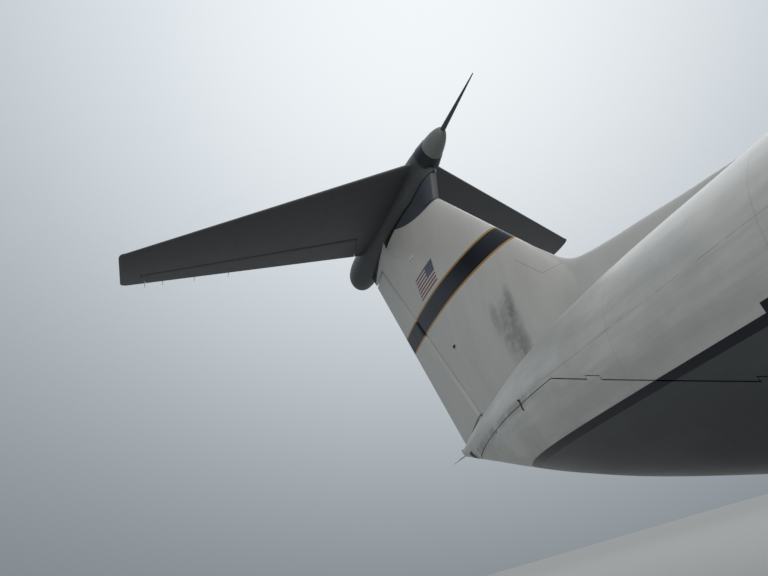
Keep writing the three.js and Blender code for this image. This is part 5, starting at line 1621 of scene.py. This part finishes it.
# the core and the spinner: distance behind the lip, radius
CORE = [(0.95, 0.73 - SEAT), (1.95, 0.73 - SEAT), (4.6, 0.44), (5.9, 0.36), (7.0, 0.05), (7.05, 0.0)]
SPINNER = [(0.55, 0.0), (0.58, 0.06), (0.7, 0.14), (0.95, 0.2)]
SPINNER_FOOT = [(0.98, 0.2), (1.0, 0.3)]
FAN = {"count": 24, "inner": 0.19, "outer": 0.725, "at": -0.86, "chord": 0.13}
PYLON_ROOM = {"length": 8, "radius": 0.84}
PYLON_SECTION = [
    # share of the length from the rear, half width
    (1, 0),
    (0.97, 0.045),
    (0.9, 0.09),
    (0.75, 0.14),
    (0.6, 0.17),
    (0.4, 0.165),
    (0.25, 0.14),
    (0.1, 0.07),
    (0, 0.02),
]


def fan_blades(count, inner, outer, at, chord):
    """Thin blades round the x axis: each is a plate from hub to rim whose pitch grows with radius."""
    radius = np.linspace(inner, outer, 8)[:, None, None]
    across = np.linspace(-0.5, 0.5, 5)[None, :, None]
    sides = np.array([-1, 1])[None, None, :]
    pitch = np.radians(35 + 25 * (radius - inner) / (outer - inner))
    thick = 0.008 * (1 - (2 * across) ** 2) + 0.002
    along_x = across * chord * np.cos(pitch) + sides * thick * np.sin(pitch)
    around = across * chord * np.sin(pitch) - sides * thick * np.cos(pitch)
    nets = []
    for turn in circle(count):
        y = radius * np.cos(turn) - around * np.sin(turn)
        z = radius * np.sin(turn) + around * np.cos(turn)
        y, z, x = np.broadcast_arrays(y, z, at + along_x)
        nets.append(shell(*(np.stack([x[..., s], y[..., s], z[..., s]], -1) for s in (0, 1))))
    return together(*nets)


def pylon(y, lip, z):
    """A pylon: its section carried over three levels, from inside the nacelle's roof to the wing's
    underside."""
    wing_row = row_at(WING, 0 if abs(y) < 9 else 1, abs(y))
    leading, height = wing_row[1], wing_row[2]
    outline = np.array(PYLON_SECTION + [(f, -w) for f, w in PYLON_SECTION[-1:0:-1]])
    levels = np.array(
        [
            [lip - 1.0, lip - 6.2, z + 0.35],
            [lip - 1.6, lip - 6.5, z + 0.93],
            [leading - 0.3, leading - 4.4, height - 0.02],
        ]
    )
    t = steps_between([0.0, 1.0, 2.0], 0.11)
    front, rear, level = (np.interp(t, [0, 1, 2], levels[:, k])[:, None] for k in range(3))
    x = rear + outline[None, :, 0] * (front - rear)
    return capped(np.stack([x, y + outline[None, :, 1] + 0 * x, level + 0 * x], -1))


def build_engines():
    """Turned nacelles, lips and cores with fans, and the pylons, one set for each engine."""
    closed = rounded(NACELLE, 6)
    skin = turned(np.concatenate([closed, closed[:1]]), 96)
    ring = rounded(LIP_RING, 5)
    inside = ring + (LIP_CORE - ring) * 0.1
    lip_ring = turned(np.concatenate([ring, inside[::-1], ring[:1]]), 96)
    body = np.concatenate([rounded(SPINNER, 6), SPINNER_FOOT, rounded(CORE, 8)[2:]])
    engine = together(turned(body, 64), fan_blades(**FAN))
    duct = rod([0, 0, 0], [-PYLON_ROOM["length"], 0, 0], PYLON_ROOM["radius"], 48)
    for number, y, lip, z in ENGINES:
        place = (lip, y, z)
        cuts = [moved(duct, *place)]
        for name, net, finish, solid, crease in (
            ("nacelle_skin_", moved(skin, *place), "nacelle", ["nacelle_" + number], 45),
            ("nacelle_lip_", moved(lip_ring, *place), "bright", [], 45),
            ("engine_core_", moved(engine, *place), "metal", ["engine_" + number], 30),
        ):
            piece(name + number, net, finish, replaces=solid, crease=crease)
        solid = ["pylon_" + number]
        piece("pylon_skin_" + number, pylon(y, lip, z), "nacelle", replaces=solid, cuts=cuts, crease=50)


# Landing gear

# a pod's section is a little squarer than an ellipse: powers of cosine and sine
POD_POWER = 0.8
POD = np.array(
    [
        # x, centre y, centre z, half width, half height
        [16.9, 2.0, 1.9, 0.3, 0.3],
        [17.2, 2.05, 1.85, 0.5, 0.48],
        [18.8, 2.2, 1.7, 0.95, 0.78],
        [20.8, 2.3, 1.62, 1.2, 0.92],
        [25.4, 2.3, 1.62, 1.2, 0.92],
        [27.6, 2.25, 1.66, 1.05, 0.86],
        [29.4, 2.1, 1.7, 0.65, 0.68],
        [30.4, 1.95, 1.75, 0.15, 0.3],
    ]
)
MAIN_GEAR = {"x": 23.0, "y": 2.67, "axle_step": 0.61, "wheel_step": 0.41, "radius": 0.56, "width": 0.41}
# the bogie beam past the axles, the leg, its brace (x ahead of the leg, z) and its piston
MAIN_BEAM = {"past": 0.14, "half": 0.12, "below": 0.12, "above": 0.14, "bevel": 0.02}
MAIN_LEG = {"foot": 1.25, "radius": 0.19, "bevel": 0.015}
MAIN_BRACE = {"foot": (0.1, 1.4), "head": 1.2, "drop": 0.08, "radius": 0.07}
MAIN_PISTON = {"foot": 0.1, "top": 1.3, "radius": 0.13}
# the nose leg, its piston, and the drag link: a flat arm from the hub and a rod that rises to the leg
NOSE_LEG = {"foot": 1.0, "top": 1.7, "radius": 0.13, "bevel": 0.01}
NOSE_PISTON = {"foot": 0.05, "top": 1.05, "radius": 0.09}
NOSE_ARM = {"back": 0.32, "front": 0.06, "half": 0.05, "low": 0.1, "high": 0.2}
NOSE_LINK = {"foot": (0.28, 0.14), "head": (0.08, 1.06), "radius": 0.035}
NOSE_LAMP = 0.9
NOSE_HUB = {"half": 0.12, "side": 0.1}
WELL = {"half_length": 1.42, "inner": 1.98, "outer": 3.36, "top": 1.95}
AXLE = {"radius": 0.08, "shoulder": 0.11, "past": 0.08}
HUB_BOLTS = {"count": 10, "radius": 0.013, "at": 0.62}

# torque links and hoses beside the main leg: x ahead of the leg, z
GEAR_LINKS = [
    [(-0.16, 1.4), (-0.46, 1.02), (-0.4, 0.96), (-0.1, 1.3)],
    [(-0.46, 1.02), (-0.1, 0.66), (-0.16, 0.62), (-0.4, 0.96)],
]
LINK_HALF = 0.04
GEAR_HOSE = [(0.14, 1.6), (0.24, 1.3), (0.2, 1.0), (0.3, 0.78), (0.5, 0.72)]
HOSE_OFFSETS = (-0.07, 0.07)


def wheel(radius, width):
    """One wheel turned about y: tyre with grooves, sidewall, rim flange, dished hub and a ring of
    bolts."""
    half, rim = width / 2, radius * 0.52
    tread = []
    for groove in (-0.5, -0.17, 0.17, 0.5):
        g = groove * half
        floor = radius - 0.012
        tread += [(g - 0.012, radius), (g - 0.008, floor), (g + 0.008, floor), (g + 0.012, radius)]
    side = [(0.78, 0.985), (0.93, 0.93), (1.0, 0.82), (0.97, 0.68), (0.84, 0.58)]
    right = [(half * w, radius * r) for w, r in side]
    left = [(-w, r) for w, r in right[::-1]]
    tyre = left + tread + right + [(half * 0.5, rim), (-half * 0.5, rim)] + left[:1]
    dish = [
        (half * 0.52, rim + 0.01),
        (half * 0.62, rim + 0.025),
        (half * 0.62, rim),
        (half * 0.45, rim * 0.92),
        (half * 0.25, rim * 0.6),
        (half * 0.35, rim * 0.45),
        (half * 0.4, AXLE["radius"] - 0.01),
    ]
    hub = dish + [(-w, r) for w, r in dish[::-1]] + dish[:1]
    spin = np.array([[0, 1, 0], [-1, 0, 0], [0, 0, 1]])

    def spun(profile):
        """The profile's width becomes y, and its radius turns about it."""
        points, faces = turned([(-w, r) for w, r in profile], 72)
        return points @ spin, faces

    bolts, reach = [], half * 0.32
    for angle in circle(HUB_BOLTS["count"]):
        x, z = rim * HUB_BOLTS["at"] * math.cos(angle), rim * HUB_BOLTS["at"] * math.sin(angle)
        bolts.append(rod([x, -reach, z], [x, reach, z], HUB_BOLTS["radius"], 6))
    return spun(tyre), together(spun(hub), *bolts)


def wheel_pair(name, gear, x, y, z, carrier_half, node):
    """Twin wheels on one axle, whose shoulders run against the carrier between them."""
    tyre, hub = wheel(gear["radius"], gear["width"])
    step = gear["wheel_step"]
    reach = step + AXLE["past"]
    axle = rod([0, -reach, 0], [0, reach, 0], AXLE["radius"], 32, 0.01)
    shoulder = rod([0, carrier_half + SEAT, 0], [0, step, 0], AXLE["shoulder"], 32)
    tyres = both_sides(moved(tyre, 0, step, 0))
    hubs = together(both_sides(together(moved(hub, 0, step, 0), shoulder)), axle)
    piece(name + "_tyres", moved(tyres, x, y, z), "tyre", node, [node], crease=35)
    piece(name + "_hubs", moved(hubs, x, y, z), "gear", node, crease=30)


def axle_bore(x, y, z):
    """The room for an axle in what carries it."""
    return rod([x, y - 0.5, z], [x, y + 0.5, z], AXLE["radius"] + SEAT, 32)


def build_main_gear():
    """The gear pods, from rounded sections along a table, with the legs and wheels."""
    x = steps_between(list(POD[:, 0]), 0.15)[:, None]
    centre_y, centre_z, half, tall = (smooth(POD[:, 0], POD[:, k], x) for k in range(1, 5))
    c, s = np.cos(circle(96))[None, :], np.sin(circle(96))[None, :]
    y, z = (np.sign(v) * np.abs(v) ** POD_POWER for v in (c, s))
    pod = capped(np.stack([x + 0 * c, centre_y + half * y, centre_z + tall * z], -1))
    gx, gy, step, radius = (MAIN_GEAR[k] for k in ("x", "y", "axle_step", "radius"))
    low = [gx - WELL["half_length"], WELL["inner"], 0.2]
    well = block(low, [gx + WELL["half_length"], WELL["outer"], WELL["top"]])
    top = WELL["top"] - SEAT
    beam, half, brace = MAIN_BEAM, MAIN_BEAM["half"], MAIN_BRACE
    ends = step + beam["past"]
    low = [gx - ends, gy - half, radius - beam["below"]]
    high = [gx + ends, gy + half, radius + beam["above"]]
    foot, head = (gx + brace["foot"][0], gy, brace["foot"][1]), (gx + brace["head"], gy, top - brace["drop"])
    leg = together(
        rod([gx, gy, MAIN_LEG["foot"]], [gx, gy, top], MAIN_LEG["radius"], 40, MAIN_LEG["bevel"]),
        slab(low, high, beam["bevel"]),
        rod(foot, head, brace["radius"], 24),
    )
    foot, head = [gx, gy, radius + MAIN_PISTON["foot"]], [gx, gy, MAIN_PISTON["top"]]
    piston = rod(foot, head, MAIN_PISTON["radius"], 40)
    arms = [[(gx + x, z) for x, z in arm] for arm in GEAR_LINKS]
    links = together(*[side_prism(arm, gy - LINK_HALF, gy + LINK_HALF) for arm in arms])
    lines = [[(gx + x, gy + y, z) for x, z in GEAR_HOSE] for y in HOSE_OFFSETS]
    hoses = together(*[pipe(line, (0.014, 0.014), 8, 6) for line in lines])
    bores = [axle_bore(gx + step, gy, radius), axle_bore(gx - step, gy, radius)]
    for side, sign in SIDES:
        cuts = [on_side(well, sign)]
        piece("pod_skin_" + side, on_side(pod, sign), "skin", replaces=["gear_pod_" + side], cuts=cuts)
        cuts = [on_side(bore, sign) for bore in bores]
        piece("main_gear_leg_" + side, on_side(leg, sign), "gear", replaces=["main_leg_" + side], cuts=cuts)
        piece("main_gear_piston_" + side, on_side(piston, sign), "chrome")
        piece("main_gear_links_" + side, on_side(links, sign), "gear")
        piece("main_gear_hoses_" + side, on_side(hoses, sign), "hose")
        for end, ahead in (("front", step), ("rear", -step)):
            node = f"main_wheels_{end}_{side}"
            wheel_pair(f"main_{end}_{side}", MAIN_GEAR, gx + ahead, sign * gy, radius, beam["half"], node)


def build_nose_gear():
    """The steered nose leg with its piston, lamp and wheels."""
    nx, radius = NOSE_GEAR["x"], NOSE_GEAR["radius"]
    half, side = NOSE_HUB["half"], NOSE_HUB["side"]
    hub = slab([nx - half, -side, radius - half], [nx + half, side, radius + half], 0.015)
    arm, link = NOSE_ARM, NOSE_LINK
    low = [nx - arm["back"], -arm["half"], radius + arm["low"]]
    high = [nx - arm["front"], arm["half"], radius + arm["high"]]
    foot = [nx - link["foot"][0], 0, radius + link["foot"][1]]
    head = [nx - link["head"][0], 0, link["head"][1]]
    leg = together(
        rod([nx, 0, NOSE_LEG["foot"]], [nx, 0, NOSE_LEG["top"]], NOSE_LEG["radius"], 40, NOSE_LEG["bevel"]),
        hub,
        block(low, high),
        rod(foot, head, link["radius"]),
    )
    bores = [axle_bore(nx, 0, radius)]
    piece("nose_gear_leg", leg, "gear", "nose_leg", ["nose_leg"], cuts=bores)
    foot, head = [nx, 0, radius + NOSE_PISTON["foot"]], [nx, 0, NOSE_PISTON["top"]]
    piece("nose_gear_piston", rod(foot, head, NOSE_PISTON["radius"], 40), "chrome", "nose_leg")
    lamp = dome([nx + 0.14, 0.0, NOSE_LAMP], [0.05, 0.075, 0.075])
    piece("nose_gear_lamp", lamp, "clear_lamp", "nose_leg")
    bracket = rod([nx + 0.02, 0, NOSE_LAMP], [nx + 0.15, 0, NOSE_LAMP], 0.08, 24, 0.01)
    piece("nose_gear_lamp_case", bracket, "gear", "nose_leg")
    wheel_pair("nose", NOSE_GEAR, nx, 0, radius, side, "nose_wheels")


def dress_nodes():
    """The rooms' own solids stay, in the interior's finish."""
    for name in ("cargo_floor", "flight_deck"):
        node = frame["nodes"][name]
        node.data.materials.clear()
        node.data.materials.append(FINISH["interior"][0])


# Camera, light and floor

CAMERA = {
    "place": (13.469, -7.697, 1.515),
    "yaw": 153.558,
    "pitch": 26.403,
    "roll": 16.215,
    "focal_px": 607.3,
}
PHOTO_WIDTH = 768
SENSOR = 36.0
SKY = {
    # radiance: level at the horizon, added overhead, the glow's added and its direction and sharpness
    "level": 0.18,
    "overhead": 0.235,
    "glow": 0.571,
    "glow_way": (-0.507, 0.457, 0.731),
    "side": 1.7,
    "side_way": (0.9, -0.3, 0.35),
    "horizon_tint": (0.88, 1.0, 1.1, 1.0),
    "glow_tint": (0.96, 1.0, 1.03, 1.0),
    "side_tint": (1.12, 1.0, 0.95, 1.0),
}
LAMP = {"away": 34, "size": 22, "energy": 750}
FLOOR = {"reach": 150, "code": "b0b0ac"}


def aim_camera():
    """The photograph's view: yaw from the x axis, pitch up, then roll about the line of sight."""
    a, b, c = (math.radians(CAMERA[k]) for k in ("yaw", "pitch", "roll"))
    forward = Vector((math.cos(a) * math.cos(b), math.sin(a) * math.cos(b), math.sin(b)))
    right = Vector((math.sin(a), -math.cos(a), 0))
    up = right.cross(forward)
    turned_right = math.cos(c) * right - math.sin(c) * up
    turned_up = math.sin(c) * right + math.cos(c) * up
    data = bpy.data.cameras.new("photo_camera")
    data.sensor_width = SENSOR
    data.lens = CAMERA["focal_px"] / PHOTO_WIDTH * SENSOR
    data.clip_start, data.clip_end = 0.05, 500
    camera = linked("photo_camera", data)
    x, y, z = CAMERA["place"]
    spin = Matrix((turned_right, turned_up, -forward)).transposed().to_4x4()
    camera.matrix_world = Matrix.Translation(((x - MIDDLE) * SCALE, y * SCALE, z * SCALE)) @ spin
    bpy.context.scene.camera = camera


def sky_and_lamp():
    """An overcast sky: its radiance rises with height, with a broad glow to the fourth power of the
    cosine from one direction and another from ahead and starboard, and one broad soft lamp that shines
    from the glow."""
    world = bpy.data.worlds.new("overcast_sky")
    bpy.context.scene.world = world
    world.use_nodes = True
    tree = world.node_tree
    tree.nodes.clear()
    way = add(tree, "TexCoord", out="Generated")
    height = add(tree, "SeparateXYZ", {0: way}, out=2)
    rising = {0: height, 1: SKY["overhead"], 2: SKY["level"]}
    total = add(tree, "Math", rising, operation="MULTIPLY_ADD")
    lobes = []
    for strength, towards in (("glow", "glow_way"), ("side", "side_way")):
        aim = Vector(SKY[towards]).normalized()
        dot = add(tree, "VectorMath", {0: way, 1: aim}, out="Value", operation="DOT_PRODUCT")
        near = add(tree, "Math", {0: dot, 1: 0.0}, operation="MAXIMUM")
        lobe = add(tree, "Math", {0: near, 1: 4.0}, operation="POWER")
        lobes.append(lobe)
        more = {0: lobe, 1: SKY[strength], 2: total}
        total = add(tree, "Math", more, operation="MULTIPLY_ADD")
    tint = SKY["horizon_tint"]
    for lobe, towards in zip(lobes, ("glow_tint", "side_tint")):
        tint = add(tree, "Mix", {0: lobe, 6: tint, 7: SKY[towards]}, out=2, data_type="RGBA")
    add(tree, "OutputWorld", {0: add(tree, "Background", {0: tint, 1: total})})

    lamp = bpy.data.lights.new("soft_lamp", "AREA")
    lamp.shape, lamp.size, lamp.energy = "DISK", LAMP["size"], LAMP["energy"]
    holder = linked("soft_lamp", lamp)
    place = Vector(SKY["glow_way"]).normalized() * LAMP["away"]
    holder.location = place
    holder.rotation_euler = place.to_track_quat("Z", "Y").to_euler()


def lay_floor():
    """A square floor at ground level, far wider than the aircraft."""
    reach = FLOOR["reach"]
    mesh = bpy.data.meshes.new("floor")
    corners = [(-reach, -reach, 0), (reach, -reach, 0), (reach, reach, 0), (-reach, reach, 0)]
    mesh.from_pydata(corners, [], [(0, 1, 2, 3)])
    # swept concrete: flat and even, so that it only throws light back
    mesh.materials.append(plain("matt_pale_concrete", FLOOR["code"], 0.8, worn=0.02, bump=0.0))
    linked("floor", mesh)


bpy.context.scene.view_settings.view_transform = "Standard"
aim_camera()
sky_and_lamp()
lay_floor()
build_fuselage()
build_wings()
build_fin()
build_rudder()
build_saddle()
build_tailplane()
tail_fittings()
build_engines()
build_main_gear()
build_nose_gear()
dress_nodes()
